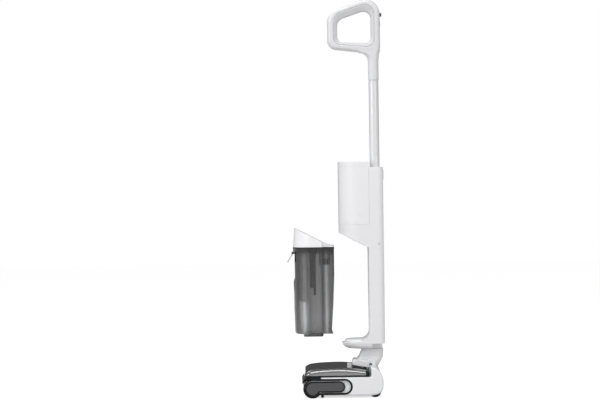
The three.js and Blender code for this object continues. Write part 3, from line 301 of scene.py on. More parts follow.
# Across from the machine's left side: x and z in millimetres, the rest in metres and degrees.
CAMERA = {"x": -200, "z": 546.4, "distance": 5.9, "view_width": 1.686, "roll": 0.8}
SENSOR = 36


def make_camera():
    data = bpy.data.cameras.new("camera")
    data.sensor_width = SENSOR
    data.lens = SENSOR * CAMERA["distance"] / CAMERA["view_width"]
    data.clip_end = 60
    camera = bpy.data.objects.new("camera", data)
    eye = mm(CAMERA["x"], 0, CAMERA["z"])
    eye.y = -CAMERA["distance"]
    turn = Matrix.Rotation(math.radians(90), 4, "X")
    roll = Matrix.Rotation(math.radians(-CAMERA["roll"]), 4, "Z")
    camera.matrix_world = Matrix.Translation(eye) @ turn @ roll
    bpy.context.scene.collection.objects.link(camera)
    bpy.context.scene.camera = camera


# ------------ materials


FINISH = {}  # every material by its name


def new_material(name):
    material = bpy.data.materials.new(name)
    material.use_nodes = True
    FINISH[name] = material
    return material.node_tree, material.node_tree.nodes["Principled BSDF"]


def feed(tree, socket, value):
    """Sets an input to a number or colour, or links it to another node's output."""
    if isinstance(value, bpy.types.NodeSocket):
        tree.links.new(value, socket)
    else:
        socket.default_value = value


def settle(tree, node, **values):
    """Sets a node up: lower-case names are its properties, the others its inputs."""
    for name, value in values.items():
        if name.islower():
            setattr(node, name, value)
        else:
            feed(tree, node.inputs[name.replace("_", " ")], value)
    return node


def add(tree, kind, **values):
    return settle(tree, tree.nodes.new(kind), **values)


def calculated(tree, kind, operation, *values):
    """The result of a math node on the given values."""
    node = add(tree, kind, operation=operation)
    for socket, value in zip(node.inputs, values):
        feed(tree, socket, value)
    return node.outputs[0]


def mapped(tree, source, low, high, start=0.0, end=1.0):
    """The source's values from start to end, spread from low to high."""
    node = add(tree, "ShaderNodeMapRange", Value=source, From_Min=start, From_Max=end)
    return settle(tree, node, To_Min=low, To_Max=high).outputs["Result"]


def mixed(tree, factor, first, second):
    """A colour between the first and the second."""
    return add(tree, "ShaderNodeMix", data_type="RGBA", Factor=factor, A=first, B=second).outputs["Result"]


def opaque(color, factor=1):
    """The colour times the factor, as a socket takes it."""
    return (*(c * factor for c in color), 1)


def noise(tree, place, scale, detail):
    """Smooth random values from 0 to 1."""
    return add(tree, "ShaderNodeTexNoise", Vector=place, Scale=scale, Detail=detail).outputs["Fac"]


def plastic(name, color, roughness, grain=0.02, grain_scale=900.0, tint=0.03, bump=0.0004, **sockets):
    """Moulded plastic: a fine moulded grain, slow roughness changes and a barely uneven colour."""
    tree, shader = new_material(name)
    place = add(tree, "ShaderNodeTexCoord").outputs["Object"]
    broad = noise(tree, place, 9.0, 3.0)
    fine = noise(tree, place, grain_scale, 2.0)
    base = mixed(tree, broad, opaque(color, 1 - tint), opaque(color))
    rough = mapped(tree, broad, max(roughness - 0.05, 0.02), roughness + 0.05)
    relief = add(tree, "ShaderNodeBump", Strength=grain, Distance=bump, Height=fine).outputs["Normal"]
    settle(tree, shader, Base_Color=base, Roughness=rough, Normal=relief, **sockets)


def smoked(name, color, edge, roughness, clear, shine=1.5, coat=1.0, painted_light=None):
    """Tinted clear plastic with painted shade that makes it darker seen edge on. Painted light, when given,
    darkens or lightens it along X and along Z as painted shade and painted highlights.
    """
    tree, shader = new_material(name)
    place = add(tree, "ShaderNodeTexCoord").outputs["Object"]
    # Painted shade: the colour goes towards the edge colour as the surface turns edge on.
    facing = add(tree, "ShaderNodeLayerWeight", Blend=0.45).outputs["Facing"]
    body = opaque(color)
    if painted_light:
        across = shaded(tree, place, color, "X", painted_light["X"])
        along = shaded(tree, place, (1, 1, 1), "Z", painted_light["Z"])
        body = calculated(tree, "ShaderNodeVectorMath", "MULTIPLY", across, along)
    base = mixed(tree, facing, body, opaque(edge))
    rough = mapped(tree, noise(tree, place, 60.0, 4.0), roughness, roughness + 0.06)
    settle(tree, shader, Base_Color=base, Roughness=rough, IOR=1.49, Transmission_Weight=clear)
    settle(tree, shader, Coat_Weight=coat, Coat_Roughness=0.04, Coat_IOR=shine)


def shaded(tree, place, color, axis, stops):
    """The colour times each stop's factor along one axis, smoothly in between: painted shade and painted
    highlights. Stops are (mm, factor).
    """
    split = add(tree, "ShaderNodeSeparateXYZ", Vector=place)
    first, last = stops[0][0], stops[-1][0]
    along = mapped(tree, split.outputs[axis], 0.0, 1.0, first / 1000, last / 1000)
    ramp = add(tree, "ShaderNodeValToRGB", Fac=along)
    ramp.color_ramp.interpolation = "EASE"
    elements = ramp.color_ramp.elements
    elements.remove(elements[1])
    for i, (at, factor) in enumerate(stops):
        share = (at - first) / (last - first)
        stop = elements.new(share) if i else elements[0]
        stop.position = share
        stop.color = opaque(color, factor)
    return ramp.outputs["Color"]


def brushed(name, color, roughness):
    """Drawn metal with fine lengthwise lines."""
    tree, shader = new_material(name)
    place = add(tree, "ShaderNodeTexCoord").outputs["Object"]
    stretched = add(tree, "ShaderNodeMapping", Vector=place, Scale=(900, 900, 12)).outputs["Vector"]
    lines = noise(tree, stretched, 1.0, 3.0)
    base = mixed(tree, lines, opaque(color, 0.93), opaque(color))
    rough = mapped(tree, lines, roughness, roughness + 0.1)
    settle(tree, shader, Base_Color=base, Roughness=rough, Metallic=0.85)


# Painted light on the tank's wall along X and along Z, as (mm, factor): painted shade darkens its edges, top
# and foot, and two pale bands are painted highlights.
TANK_PAINTED_LIGHT = {
    "X": [
        *((-120.6, 0.1), (-117, 0.3), (-108, 0.7), (-99, 1.35), (-90, 1.75), (-81, 1.05), (-74, 0.75)),
        *((-66, 0.9), (-50, 0.95), (-36, 0.7), (-28, 1.35), (-18, 0.8), (-11, 1.05), (-5.1, 0.2)),
    ],
    "Z": [
        *((160, 0.3), (168, 0.5), (175, 0.9), (215, 1.05), (262, 1.0), (300, 0.97), (385, 0.92)),
        *((395, 0.7), (404, 0.3), (414, 0.2)),
    ],
}

plastic("white_shell", (0.80, 0.80, 0.815), 0.34, Coat_Weight=0.25, Coat_Roughness=0.2)
plastic("handle", (0.70, 0.70, 0.715), 0.36, Coat_Weight=0.2, Coat_Roughness=0.2)
plastic("lid", (0.88, 0.88, 0.89), 0.34, Coat_Weight=0.25, Coat_Roughness=0.2)
plastic("clean_tank", (0.82, 0.82, 0.84), 0.28, Coat_Weight=0.35, Coat_Roughness=0.12)
plastic("light_grey", (0.56, 0.56, 0.57), 0.46, grain=0.08)
plastic("liner", (0.62, 0.62, 0.63), 0.5, grain=0.08)
plastic("neck", (0.76, 0.76, 0.77), 0.42, grain=0.06)
# The tray finish is a lighter copy of light grey: painted light that brightens the tray and the collar in the
# shade under the housing.
plastic("tray", (0.9, 0.9, 0.91), 0.45, grain=0.05)
plastic("lid_top", (0.30, 0.30, 0.31), 0.6)
plastic("dark_grey", (0.06, 0.06, 0.064), 0.45, grain=0.1)
plastic("black", (0.006, 0.006, 0.007), 0.45, grain=0.08, Specular_IOR_Level=0.15)
plastic("rubber", (0.014, 0.014, 0.014), 0.7, grain=0.25, Specular_IOR_Level=0.3)
smoked("smoke", (0.5, 0.5, 0.52), (0.2, 0.2, 0.2), 0.08, 0.94)
# The tank's wall gets painted light: painted shade at its edges, top and foot, and painted highlights in two
# pale bands.
smoked("tank", (0.4, 0.4, 0.405), (0.0, 0.0, 0.0), 0.07, 0.97, coat=0.2, painted_light=TANK_PAINTED_LIGHT)
smoked("window", (0.12, 0.12, 0.125), (0.0, 0.0, 0.0), 0.05, 0.92, shine=2.3)
smoked("inner", (0.72, 0.72, 0.72), (0.2, 0.2, 0.2), 0.12, 0.95, coat=0.3)
brushed("steel", (0.62, 0.62, 0.64), 0.3)
plastic("pole", (0.74, 0.74, 0.75), 0.3, Metallic=0.35)
brushed("brass", (0.72, 0.52, 0.2), 0.3)
plastic("fibre", (0.16, 0.165, 0.19), 0.95, grain=1.0, grain_scale=420, tint=0.35, bump=0.0015)
plastic("board", (0.02, 0.12, 0.05), 0.45)
plastic("cell", (0.05, 0.13, 0.3), 0.4)

# CAD nodes shown as they are: a finish that isn't their slot's, and the width of their edges in millimetres.
NODE_FINISH = {"strainer_basket": "inner", "float_housing": "inner"}
NODE_EDGES = {
    **dict.fromkeys(("power_button", "mode_button"), 0.8),
    **dict.fromkeys(("roller_motor", "tank_float"), 0.6),
    **dict.fromkeys(("floor_squeegee", "spray_bar", "float_housing", "tank_filter"), 0.5),
    **dict.fromkeys(("roller_scraper", "inlet_pipe", "lid_seal"), 0.4),
    **dict.fromkeys(("pivot_cap_left", "pivot_cap_right"), 0.3),
    **dict.fromkeys(("charging_contact_left", "charging_contact_right"), 0.3),
    **dict.fromkeys(("screw_cap_left", "screw_cap_right"), 0.25),
    "strainer_basket": 0.15,
}


def finish_nodes():
    slots = {part["node"]: part["material_slot"] for part in frame["record"]["subparts"]}
    for name, piece in frame["nodes"].items():
        cover(piece, NODE_FINISH.get(name, slots[name]), 32)
        if name in NODE_EDGES:
            bevel(piece, NODE_EDGES[name], 3, 40).harden_normals = True


# ------------ handle and pole

LOOP_OUTER = [(-117.5, 968.5, 27), (31, 950.7, 12), (31, 1129.4, 43), (-117.5, 1068.8, 38)]
LOOP_CREASE = [(-99.8, 981.4, 20), (14.9, 972.4, 22), (14.9, 1103.3, 27), (-99.8, 1064.7, 30)]
LOOP_INNER = [(-89, 987.5, 16), (4.9, 984, 17), (4.9, 1080.8, 20), (-89, 1049.7, 24)]
POLE_X = 11


def loop_ring(name, start, end, section):
    """Skins a cross-section of (reach, y) points round the loop, from the start outline to the end one."""
    pairs = zip(rounded(start, 18), rounded(end, 18))
    rings = [[(a[0] + (b[0] - a[0]) * u, y, a[1] + (b[1] - a[1]) * u) for u, y in section] for a, b in pairs]
    return loft(name, rings, closed=True)


def sleeve_levels():
    """The sleeve below the loop: round at its foot, drawn out to the front where it meets the loop."""
    front, rear, radius, bar = POLE_X - 14.8, POLE_X + 14.8, 26, 957
    levels = [(879.6, front + 0.8, rear - 0.8), (880.6, front, rear), (929, front, rear)]
    for i in range(13):
        rise = radius * i / 12
        reach = math.sqrt(max(radius**2 - rise**2, 0))
        levels.append((bar - radius + rise, front - radius + reach, rear + 3.0 * (i / 12) ** 1.5))
    levels += [(966, -44, 30.0), (980, -34, 30.6), (992, -16, 30.8)]
    return [(z, box_plan(x0, x1, 14.5, 14.4, 12)) for z, x0, x1 in levels]


def build_handle():
    half = 15.0
    bulge = [(0, half)]
    for i in range(13):
        a = math.pi * i / 12
        side = math.copysign(abs(math.cos(a)) ** 0.8, math.cos(a))
        bulge.append((0.22 + 0.78 * math.sin(a) ** 0.8, half * side))
    bulge.append((0, -half))
    shell = loop_ring("handle_body", LOOP_CREASE, LOOP_OUTER, bulge)
    sleeve = loft_z("sleeve", sleeve_levels())
    carve(sleeve, prism_y("opening", rounded(LOOP_CREASE, 18), -60, 60))
    blend(fuse(shell, sleeve), 1.1, 10)
    carve(
        shell,
        prism_y("opening", rounded(LOOP_CREASE, 24), -60, 60),
        rod_z("bore", 14.0, POLE_X, 0, 860, 925.3, 64),
        block("foot", -60, 60, -40, 40, 860, 879.8),
        block("power_pocket", 23.7, 45, -5.7, 5.7, 1057.7, 1068.9),
        block("mode_pocket", 23.7, 45, -5.7, 5.7, 1029.7, 1044.3),
    )
    place(shell, "handle", "white_shell", ["handle_shell"], material="handle")

    wall = [(0.0, 14.2), (0.03, 14.5), (0.1, 14.6), (0.2, 14.4), (0.3, 13.7)]
    wall += [(0.86, 10.2), (0.95, 9.2), (1, 7.6)]
    gap = 0.3
    inward = ((gap, gap), (-gap, gap), (-gap, -gap), (gap, -gap))
    seat = [(x + u, z + v, r) for (x, z, r), (u, v) in zip(LOOP_CREASE, inward)]
    liner = loop_ring("handle_liner", seat, LOOP_INNER, wall + mirrored(wall))
    place(liner, "handle", "light_grey", ["handle_grip"], material="liner")


def build_pole():
    seam = [(13.7, 877.0), (12.7, 877.6), (12.7, 880.6), (13.7, 881.2)]
    foot = [(12.1, 562), (13.2, 562), (13.7, 562.5)]
    top = [(13.7, 924.5), (13.2, 925), (12.1, 925)]
    tube = turned("pole", [*foot, *seam, *top, foot[0]], (POLE_X, 0, 0), "Z", 96)
    place(tube, "handle", "pole", ["pole_tube"])


# ------------ neck and its collar

PIVOT_X, PIVOT_Z = -9.3, 84.7
NECK_X = -4.5


def below_apron(foot, rear):
    """What is cut away under the apron: from the foot up, as high at the rear as given."""
    outline = [(-75, foot), (-12, foot), (-12, rear), (-24, 77.4), (-40, 79.8), (-62, 84), (-75, 84)]
    return prism_y("below", outline, -60, 60)


def build_neck():
    keys = [(72, -38, 9, 30), (82, -50, 14, 34), (88, -54, 17, 36), (95, -50, 21, 37), (101, -46, 24.4, 37)]
    keys += [(107, -41, 26.4, 36), (115, -37.4, 27.4, 35.5), (123, -34.2, 27.8, 35.5), (128.6, -33, 28, 36)]
    levels = [(z, box_plan(x0, x1, half, 14, 10)) for z, x0, x1, half in smooth_path(keys, 4)]
    column = loft_z("neck_body", levels)
    front = [(-60, 84.6, 1), (-60, 92, 4), (-53, 97, 5), (-42, 99, 6)]
    back = [(-20, 92, 3), (-12, 79, 0), (-24, 77.8, 0), (-40, 80.2, 0)]
    apron = ease(prism_y("apron", rounded(front + back, 6), -41, 41), 2.5, 3)
    rib = rod_y("rib", 7, -52, 93, -39.5, 39.5, 40)
    fuse(column, apron, rib)
    carve(column, below_apron(60, 77.4))
    barrel = rod_y("barrel", 14, PIVOT_X, PIVOT_Z, -41, 41, 72)
    fuse(column, ease(barrel, 1.2, 3))
    blend(column, 0.9, 6)
    carve(
        column,
        below_apron(55, 77.2),
        rod_y("bore", 4.3, PIVOT_X, PIVOT_Z, -60, 60, 48),
        block("lug_room", PIVOT_X - 13, 33, -15, 15, 50, PIVOT_Z + 13),
        rod_z("spigot_hole", 12.3, NECK_X, 0, 114.6, 135, 64),
        block("top", -80, 60, -60, 60, 128.6, 140),
    )
    place(column, "neck", "light_grey", ["swivel_neck"], material="neck")


# ------------ main body

BODY = {"front": -93, "column_front": -7.4, "rear": 32.6, "half": 57, "corner": 15}
BODY_TOP = 635.3
SKIRT_TOP = 475.5
SHARP = 0.01  # a corner radius that looks sharp
SPINE_X = -10.6
SHELF = {"front": -87.5, "bottom": 143, "top": 155.5}
CAVITY = {"front": 20.5, "rear": 28, "half": 44}


def underside_at(x):
    """Height of the slanted underside over the dirty tank's bay."""
    return 453.6 - 0.51 * (x + 93)


def body_shape():
    """Skirt, column and spine as one block with its edges eased, before anything is cut out of it."""
    rear = BODY["rear"] + 5
    front = BODY["front"] - 5
    side = [
        (front, underside_at(front)),
        (SPINE_X, underside_at(SPINE_X)),
        (SPINE_X, SHELF["bottom"]),
        (rear, SHELF["bottom"]),
        (rear, BODY_TOP),
        (BODY["column_front"], BODY_TOP),
        (BODY["column_front"], SKIRT_TOP),
        (front, SKIRT_TOP),
    ]
    plan = d_plan(BODY["front"], BODY["rear"], BODY["half"], BODY["corner"])
    shape = prism_z("housing", plan, 120, 660)
    combine(shape, [prism_y("side", side, -70, 70)], "INTERSECT")
    return ease(shape, 0.7, 3)


def shelf_shape():
    keys = [(143.05, 0.5), (144.5, 0.1), (147, 0.05), (150, 0.7), (153, 2.6), (154.8, 5), (155.5, 8)]
    levels = []
    for z, inset in smooth_path(keys, 3):
        levels.append((z, d_plan(SHELF["front"] + inset, 12, BODY["half"] - 0.05 - inset * 0.55, SHARP)))
    return loft_z("shelf", levels)


def cheek_shape(side):
    radius = 24
    corner_x, corner_z = SPINE_X - radius, SHELF["top"] + radius
    outline = arc(corner_x, corner_z, radius, -90, 0, 28)
    outline += [(SPINE_X + 6, corner_z), (SPINE_X + 6, 151.5), (corner_x, 151.5)]
    return ease(prism_y("cheek", outline, *span(side, 56.93, 53.4)), 0.8, 3, 50)


def build_housing():
    shape = fuse(body_shape(), shelf_shape(), cheek_shape(-1), cheek_shape(1))
    rear = BODY["rear"]
    bay_top = underside_at(SPINE_X) + 1
    motor_floor = [(-30, 350), (36, 350), (36, bay_top + 2), (SPINE_X, bay_top + 2)]
    motor_floor.append((-30, underside_at(-30) + 3))
    motor_room = block("motor_room", -27, 34, -44, 44, 424, 472.5)
    carve(motor_room, prism_y("floor", motor_floor, -80, 80))
    slanted = [(x, underside_at(x)) for x in (-80, -10)]
    seal_band = [(x, z - 8) for x, z in slanted] + [(x, z + 3.3) for x, z in reversed(slanted)]
    groove = prism_z("groove", box_plan(-66.3, -16.7, 27.3, 8), 380, 470)
    carve(groove, prism_z("island", box_plan(-61.2, -21.8, 22.2, 8), 379, 471))
    combine(groove, [prism_y("band", seal_band, -60, 60)], "INTERSECT")
    carve(
        shape,
        block("bay", SPINE_X - 3, 18.5, -39, 39, 154.8, bay_top),
        block("boss_groove", SHELF["front"] - 5, -13.5, -29, 29, 147.3, 175),
        block("low_cavity", CAVITY["front"], 34, -44, 44, 172, 405),
        motor_room,
        block("high_cavity", -4.8, 34, -44, 44, 471.5, 548),
        block("pump_room", -2, 34, 20, 44, 560, 606),
        block("cover_seat", CAVITY["rear"], 38, -46.8, 46.8, 167.7, 597.3),
        rod_z("pole_bore", 14, POLE_X, 0, 561.7, 640, 96),
        block("button_shaft", 21, 43, -7.5, 7.5, 615, 627),
        block("button_seat", rear - 4.2, 43, -11.1, 11.1, 600, 628.5),
        groove,
        prism_z("port", box_plan(-52, -30, 16, 6), 400, 446),
        rod_z("valve_hole", 9, -60, 0, 466.5, 480, 48),
        *[rod_y("screw_hole", 3.1, 18.6, 421.6, *span(side, 60, 54.5), 32) for side in (-1, 1)],
        *[block("contact_seat", rear - 2.3, 36, *span(side, 21.3, 10.7), 149.5, 160.5) for side in (-1, 1)],
    )
    place(shape, "upright", "white_shell", ["main_housing"])


def build_tray():
    keys = [(128.9, 22, 17), (129.2, 18.4, 13), (130.2, 14.8, 9.8), (132.3, 10.4, 6.4), (136.3, 5, 2.8)]
    keys += [(140, 1.9, 1.2), (142.7, 1, 0.7)]
    levels = []
    for z, back, narrow in smooth_path(keys, 4):
        levels.append((z, d_plan(SHELF["front"] + back, 20, BODY["half"] - narrow, SHARP)))
    tray = loft_z("tray", levels)
    collar_room = rod_z("collar_room", 31.5, NECK_X, 0, 120, 150, 96)
    carve(tray, collar_room, block("behind", NECK_X, 60, -80, 80, 120, 150))
    # Tray and collar take the lighter tray finish: painted light against the shade under the housing.
    place(tray, "upright", "light_grey", ["tray_underside"], material="tray")
    edge = 30.5
    profile = [(0, 116.9), (11, 116.9), (12, 117.9), (12, 128.9), (edge - 0.8, 128.9), (edge - 0.2, 129.1)]
    profile += [(edge, 129.7), (edge, 141.9), (edge - 0.2, 142.5), (edge - 0.8, 142.7), (0, 142.7)]
    collar = turned("collar", profile, (NECK_X, 0, 0), "Z", 96)
    place(collar, "upright", "light_grey", ["swivel_collar"], material="tray")


def clean_plan(inset, rear=0.0):
    """The clean tank's plan, drawn in all round by the inset, its back moved to the rear by what is given."""
    return d_plan(BODY["front"] + inset, -7.9 - inset + rear, BODY["half"] - inset, 1.2)


def build_clean_tank():
    low, high = 475.8, 636.2
    keys = [(low - 0.15, 0.5, 0.3), (low + 0.15, 0.15, 0.3), (low + 0.8, 0.02, 0.35), (low + 3, 0.02, 0.35)]
    keys += [(high - 3, 0.02, 0.35), (high - 0.3, 0.02, 0.35), (high + 0.1, 0.3, 0.3)]
    shell = loft_z("clean_tank_shell", [(z, clean_plan(inset, rear)) for z, inset, rear in keys])
    keys = [(low + 3.1, 4.6), (low + 6, 3.6), (high + 5, 3.6)]
    hollow = loft_z("hollow", [(z, clean_plan(inset)) for z, inset in keys])
    carve(shell, hollow, rod_z("outlet", 5, -60, 0, low - 5, low + 10, 48))
    place(shell, "clean_water", "clean_tank", ["clean_tank"])


CAP_TOP = 652.6
FILLER_X = -52


def build_clean_cap():
    low, high = 636.5, CAP_TOP
    edge = [(low, 0.45), (low + 0.4, 0.1), (high - 2.4, 0.05), (high - 1.4, 0.35)]
    edge += [(high - 0.6, 1.0), (high - 0.15, 1.9), (high, 3.0)]
    cap = loft_z("cap", [(z, clean_plan(inset, 0.3)) for z, inset in edge])
    fuse(cap, prism_z("spigot", clean_plan(4.0), low - 7, low + 1))
    carve(cap, prism_z("room", clean_plan(6.0), low - 8, high - 4))
    fuse(
        cap,
        prism_z("dip_floor", box_plan(-38, -14, 24, 4), high - 8, high - 3),
        rod_z("filler_ring", 17, FILLER_X, 0, high - 9, high - 1, 64),
    )
    dip = loft_z("dip", [(high - 5, box_plan(-35, -17, 20, 4)), (high + 1, box_plan(-37, -15, 23, 6))])
    carve(cap, rod_z("filler", 14, FILLER_X, 0, low - 20, high + 5, 64), dip)
    place(ease(cap, 0.3, 2, 40), "clean_water", "white_shell", ["clean_tank_cap"])


# ------------ floor head

HEAD = {"half": 132, "deck": 58.6, "dome_x": -11.4, "dome_top": 84.1, "slot": 42, "slot_floor": 54}
ROLLER_X, ROLLER_R = -172.4, 25.6
CHAMBER = 118  # half width of the room the roller turns in


def side_rounded(name, outline, y0, y1, reach, depth):
    """A prism along Y with rounded ends: over reach along Y, by depth towards the outline's middle."""
    turns = [math.pi / 2 * i / 6 for i in range(7)]
    ends = [(y0 + reach * (1 - math.cos(a)), depth * (1 - math.sin(a))) for a in turns]
    levels = ends + [(y1 + y0 - y, inset) for y, inset in reversed(ends)]
    return loft(name, [[(x, y, z) for x, z in shrunk(outline, inset)] for y, inset in levels])


def shrunk(outline, inset):
    """The closed outline moved inwards by inset, corner for corner."""
    area = sum(a[0] * b[1] - b[0] * a[1] for a, b in zip(outline, outline[1:] + outline[:1]))
    turn = inset if area > 0 else -inset
    moved = []
    for i, point in enumerate(outline):
        here = Vector(point)
        before = (here - Vector(outline[i - 1])).normalized()
        after = (Vector(outline[(i + 1) % len(outline)]) - here).normalized()
        normal = Vector((-before.y - after.y, before.x + after.x))
        if normal.length < 1e-6:
            normal = Vector((-before.y, before.x)) * 2
        normal.normalize()
        cosine = max(normal.dot(Vector((-before.y, before.x))), 0.35)
        moved.append(tuple(here + normal * (turn / cosine)))
    return moved


def head_outline():
    back = [(-12, 6), (6, 9), (16, 15), (21.4, 24), (23.5, 36), (23, 50), (20, 60.5), (13.7, 72), (4, 79.8)]
    back = smooth_path([*back, (HEAD["dome_x"], HEAD["dome_top"])], 5)
    return [(-142, 6), (-80, 6), *back, (HEAD["dome_x"], HEAD["deck"]), (-150, HEAD["deck"]), (-150, 30)]


def trim_outline(inset=0.0):
    """Round nose over the roller's end, run into a long rounded bar."""
    nose_z, nose_r = 26.3, 26.0 - inset
    middle, bar_r = 31.45, 21.95 - inset
    low = math.degrees(math.asin((nose_z - middle + bar_r) / nose_r))
    gap = middle - nose_z
    cross = (nose_r**2 - bar_r**2 + gap**2) / (2 * gap)
    a = math.degrees(math.asin(min(cross / nose_r, 1)))
    b = math.degrees(math.asin(min((cross - gap) / bar_r, 1)))
    end_x = -62.2 - inset - bar_r
    nose = arc(ROLLER_X, nose_z, nose_r, -low, -180 - a, 56)
    top = arc(ROLLER_X, middle, bar_r, 180 - b, 90, 12)
    return nose + top + arc(end_x, middle, bar_r, 90, -90, 36)


def arm_outline(inset=0.0):
    """Round end over the roller's axle, run into a long rounded bar."""
    disc_r, bar_r, middle = 20.3 - inset, 15 - inset, 31.1
    end_x = -82.8 - inset - bar_r
    low = math.degrees(math.asin((ROLLER_R - middle + bar_r) / disc_r))
    disc = arc(ROLLER_X, ROLLER_R, disc_r, -low, -268, 60)
    return disc + arc(end_x, middle, bar_r, 90, -90, 28)


def build_head():
    half = HEAD["half"]
    shell = side_rounded("head", head_outline(), -half, half, 6, 6)
    recess_floor = half - 5.8
    cutters = [
        rod_y("roller_room", ROLLER_R + 2.4, ROLLER_X, ROLLER_R, -CHAMBER, CHAMBER, 96),
        block("forward", ROLLER_X - 60, ROLLER_X + 6, -CHAMBER, CHAMBER, -5, 120),
        block("slot", HEAD["dome_x"] - 20, 44, -HEAD["slot"], HEAD["slot"], HEAD["slot_floor"], 120),
        block("duct", -146, -60, -34, 34, 22, 44),
        block("underside", -120, -30, -92, 92, 4, 15),
    ]
    for side in (-1, 1):
        cutters.append(rod_y("well", 19, 0, 17, *span(side, 113.6, 94.4), 64))
        cutters.append(block("well_mouth", -19, 31, *span(side, 113.6, 94.4), -5, 17))
        cutters.append(prism_y("recess", trim_outline(-0.3), *span(side, half + 5, recess_floor)))
    carve(ease(shell, 1.0, 3, 40), *cutters)
    for side in (-1, 1):
        fuse(shell, prism_y("arm", trim_outline(), *span(side, recess_floor, CHAMBER)))
    lug = rod_y("lug", 11, PIVOT_X, PIVOT_Z, -14, 14, 64)
    fuse(shell, lug, block("lug_foot", -20.3, 1.7, -14, 14, 52, PIVOT_Z))
    tools = [
        rod_y("pin_bore", 4.3, PIVOT_X, PIVOT_Z, -42, 42, 48),
        block("squeegee_groove", -144.3, -137.7, -112.3, 112.3, 0, 16.3),
        block("scraper_seat", -147, -139.5, -113, 113, 46.7, 54.3),
        block("scraper_slot", -165, -146, -113, 113, 47.3, 49.7),
    ]
    for side in (-1, 1):
        tools.append(rod_y("axle_bore", 3.1, 0, 17, *span(side, 120, 88), 40))
        tools.append(rod_y("arm_seat", 7.3, ROLLER_X, ROLLER_R, *span(side, half, CHAMBER - 1), 40))
    carve(shell, *tools)
    place(shell, "head", "white_shell", ["head_base"])


def build_trims():
    for side, name in ((-1, "left"), (1, "right")):
        ring = prism_y("trim_" + name, trim_outline(), *span(side, 131.6, 126.5))
        carve(ring, prism_y("opening", trim_outline(5.0), *span(side, 140, 120)))
        place(ease(ring, 0.9, 3, 40), "head", "black", ["side_trim_" + name])

        outer, inner = 130.8, 126.8
        # The arm's black rim round its grey plate is painted shadow: it stands for the shadow gap round the
        # plate.
        rim = prism_y("arm_shadow_rim_" + name, arm_outline(), *span(side, outer - 0.7, inner))
        carve(
            rim,
            prism_y("plate_room", arm_outline(3.2), *span(side, outer + 2, inner + 1)),
            rod_y("notch", 2.4, -150, 15.5, *span(side, 140, 120), 32),
        )
        fuse(rim, rod_y("spigot", 7, ROLLER_X, ROLLER_R, *span(side, inner + 1, 119.5), 40))
        place(ease(rim, 0.5, 2, 40), "head", "black", ["roller_arm_" + name])
        plate = prism_y("arm_plate_" + name, arm_outline(3.45), *span(side, outer, inner + 1.2))
        place(ease(plate, 0.8, 3, 40), "head", "dark_grey", ["roller_arm_" + name])


# ------------ window

WINDOW = {"front": -197.2, "rear": -15.4, "foot": 40, "top": 81.8, "half": 131.4}
WINDOW_TOP = [
    *((-196.2, 54.2), (-195.2, 62.5), (-192.0, 69.2), (-184, 75), (-171, 78.2), (-150, 80.3)),
    *((-120, 81.6), (-88, 81.8), (-60, 79.6), (-40, 76.6), (-15.4, 72.6)),
]


def window_outline(inset):
    foot = WINDOW["foot"]
    outline = [(WINDOW["rear"], foot), (WINDOW["front"], foot), *smooth_path(WINDOW_TOP, 5)]
    return shrunk(outline, inset) if inset else outline


def neck_room():
    return block("neck_room", -36, 0, -43, 43, 50, 100)


def lowered(outline, down, back, rear):
    """The window's outline drawn down from its top, and back from its front as far as the given rear."""
    foot = WINDOW["foot"]
    across = 1 - back / (rear - WINDOW["front"])
    high = 1 - down / (WINDOW["top"] - foot)
    return [(rear + (x - rear) * across if x < rear else x, foot + (z - foot) * high) for x, z in outline]


def drawn_in(gap, reach, depth):
    """How far a round end has drawn in: by its whole depth at the very end, by nothing from its reach on."""
    return depth * (1 - math.sqrt(max(0, 1 - max(0, 1 - gap / reach) ** 2)))


def ended(name, outline, half, shoulder, corner, rear=WINDOW["rear"]):
    """A prism along Y with round shoulders and round front corners, each given as (reach, depth)."""
    shares = [1 - math.cos(math.pi / 2 * i / 12) for i in range(13)]
    gaps = {reach * share for reach, _ in (shoulder, corner) for share in shares}
    levels = [(gap - half, drawn_in(gap, *shoulder), drawn_in(gap, *corner)) for gap in sorted(gaps)]
    levels += [(-y, down, back) for y, down, back in reversed(levels)]
    rings = []
    for y, down, back in levels:
        rings.append([(x, y, z) for x, z in lowered(outline, down, back, rear)])
    return loft(name, rings)


def build_window():
    half = WINDOW["half"]
    shell = ended("window", window_outline(0), half, (14, 12), (30, 10))
    carve(
        shell,
        ended("window_room", window_outline(2.4), half - 2.4, (12, 10), (28, 9.5)),
        block("foot", -210, 0, -140, 140, 40, 62.3),
        block("rear", -25.3, 0, -140, 140, 50, 90),
        neck_room(),
        block("button_pocket", -74.5, -60.5, -13.5, 13.5, 73.5, 95),
    )
    place(ease(shell, 0.25, 2, 40), "window", "smoke", ["brush_window"], material="window")


def build_window_frame():
    foot = [(-15.2, 58.9), (-150, 58.9), (-153, 54.4), (-196, 54.4)]
    top = [(-194.6, 64), (-26, 64), (-25, 73.8), (-15.2, 72.4)]
    ring = ended("window_rim", foot + top, WINDOW["half"], (2, 0), (30, 10), -153)
    carve(
        ring,
        block("light", -189, -25, -124.4, 124.4, 40, 80),
        block("above", -210, -25, -140, 140, 62, 80),
        neck_room(),
    )
    place(ease(ring, 0.3, 2, 40), "window", "black", ["window_frame"])


# ------------ dirty water tank, drawn out of its bay

TANK = {"front": -98, "step": -15, "tongue": 17.5, "tongue_half": 38, "half": 56.4, "foot": 155.8}
TANK_RIM = (392.3, 398.3)
DRAWN = (-124, 0, 15.577)  # from the tank's seat to where it is drawn out
LATCH_Z = 382.6


def drawn_out(piece):
    """Moves a piece modelled at the tank's seat to the rest position."""
    piece.data.transform(Matrix.Translation(Vector(DRAWN) / 1000))
    return piece


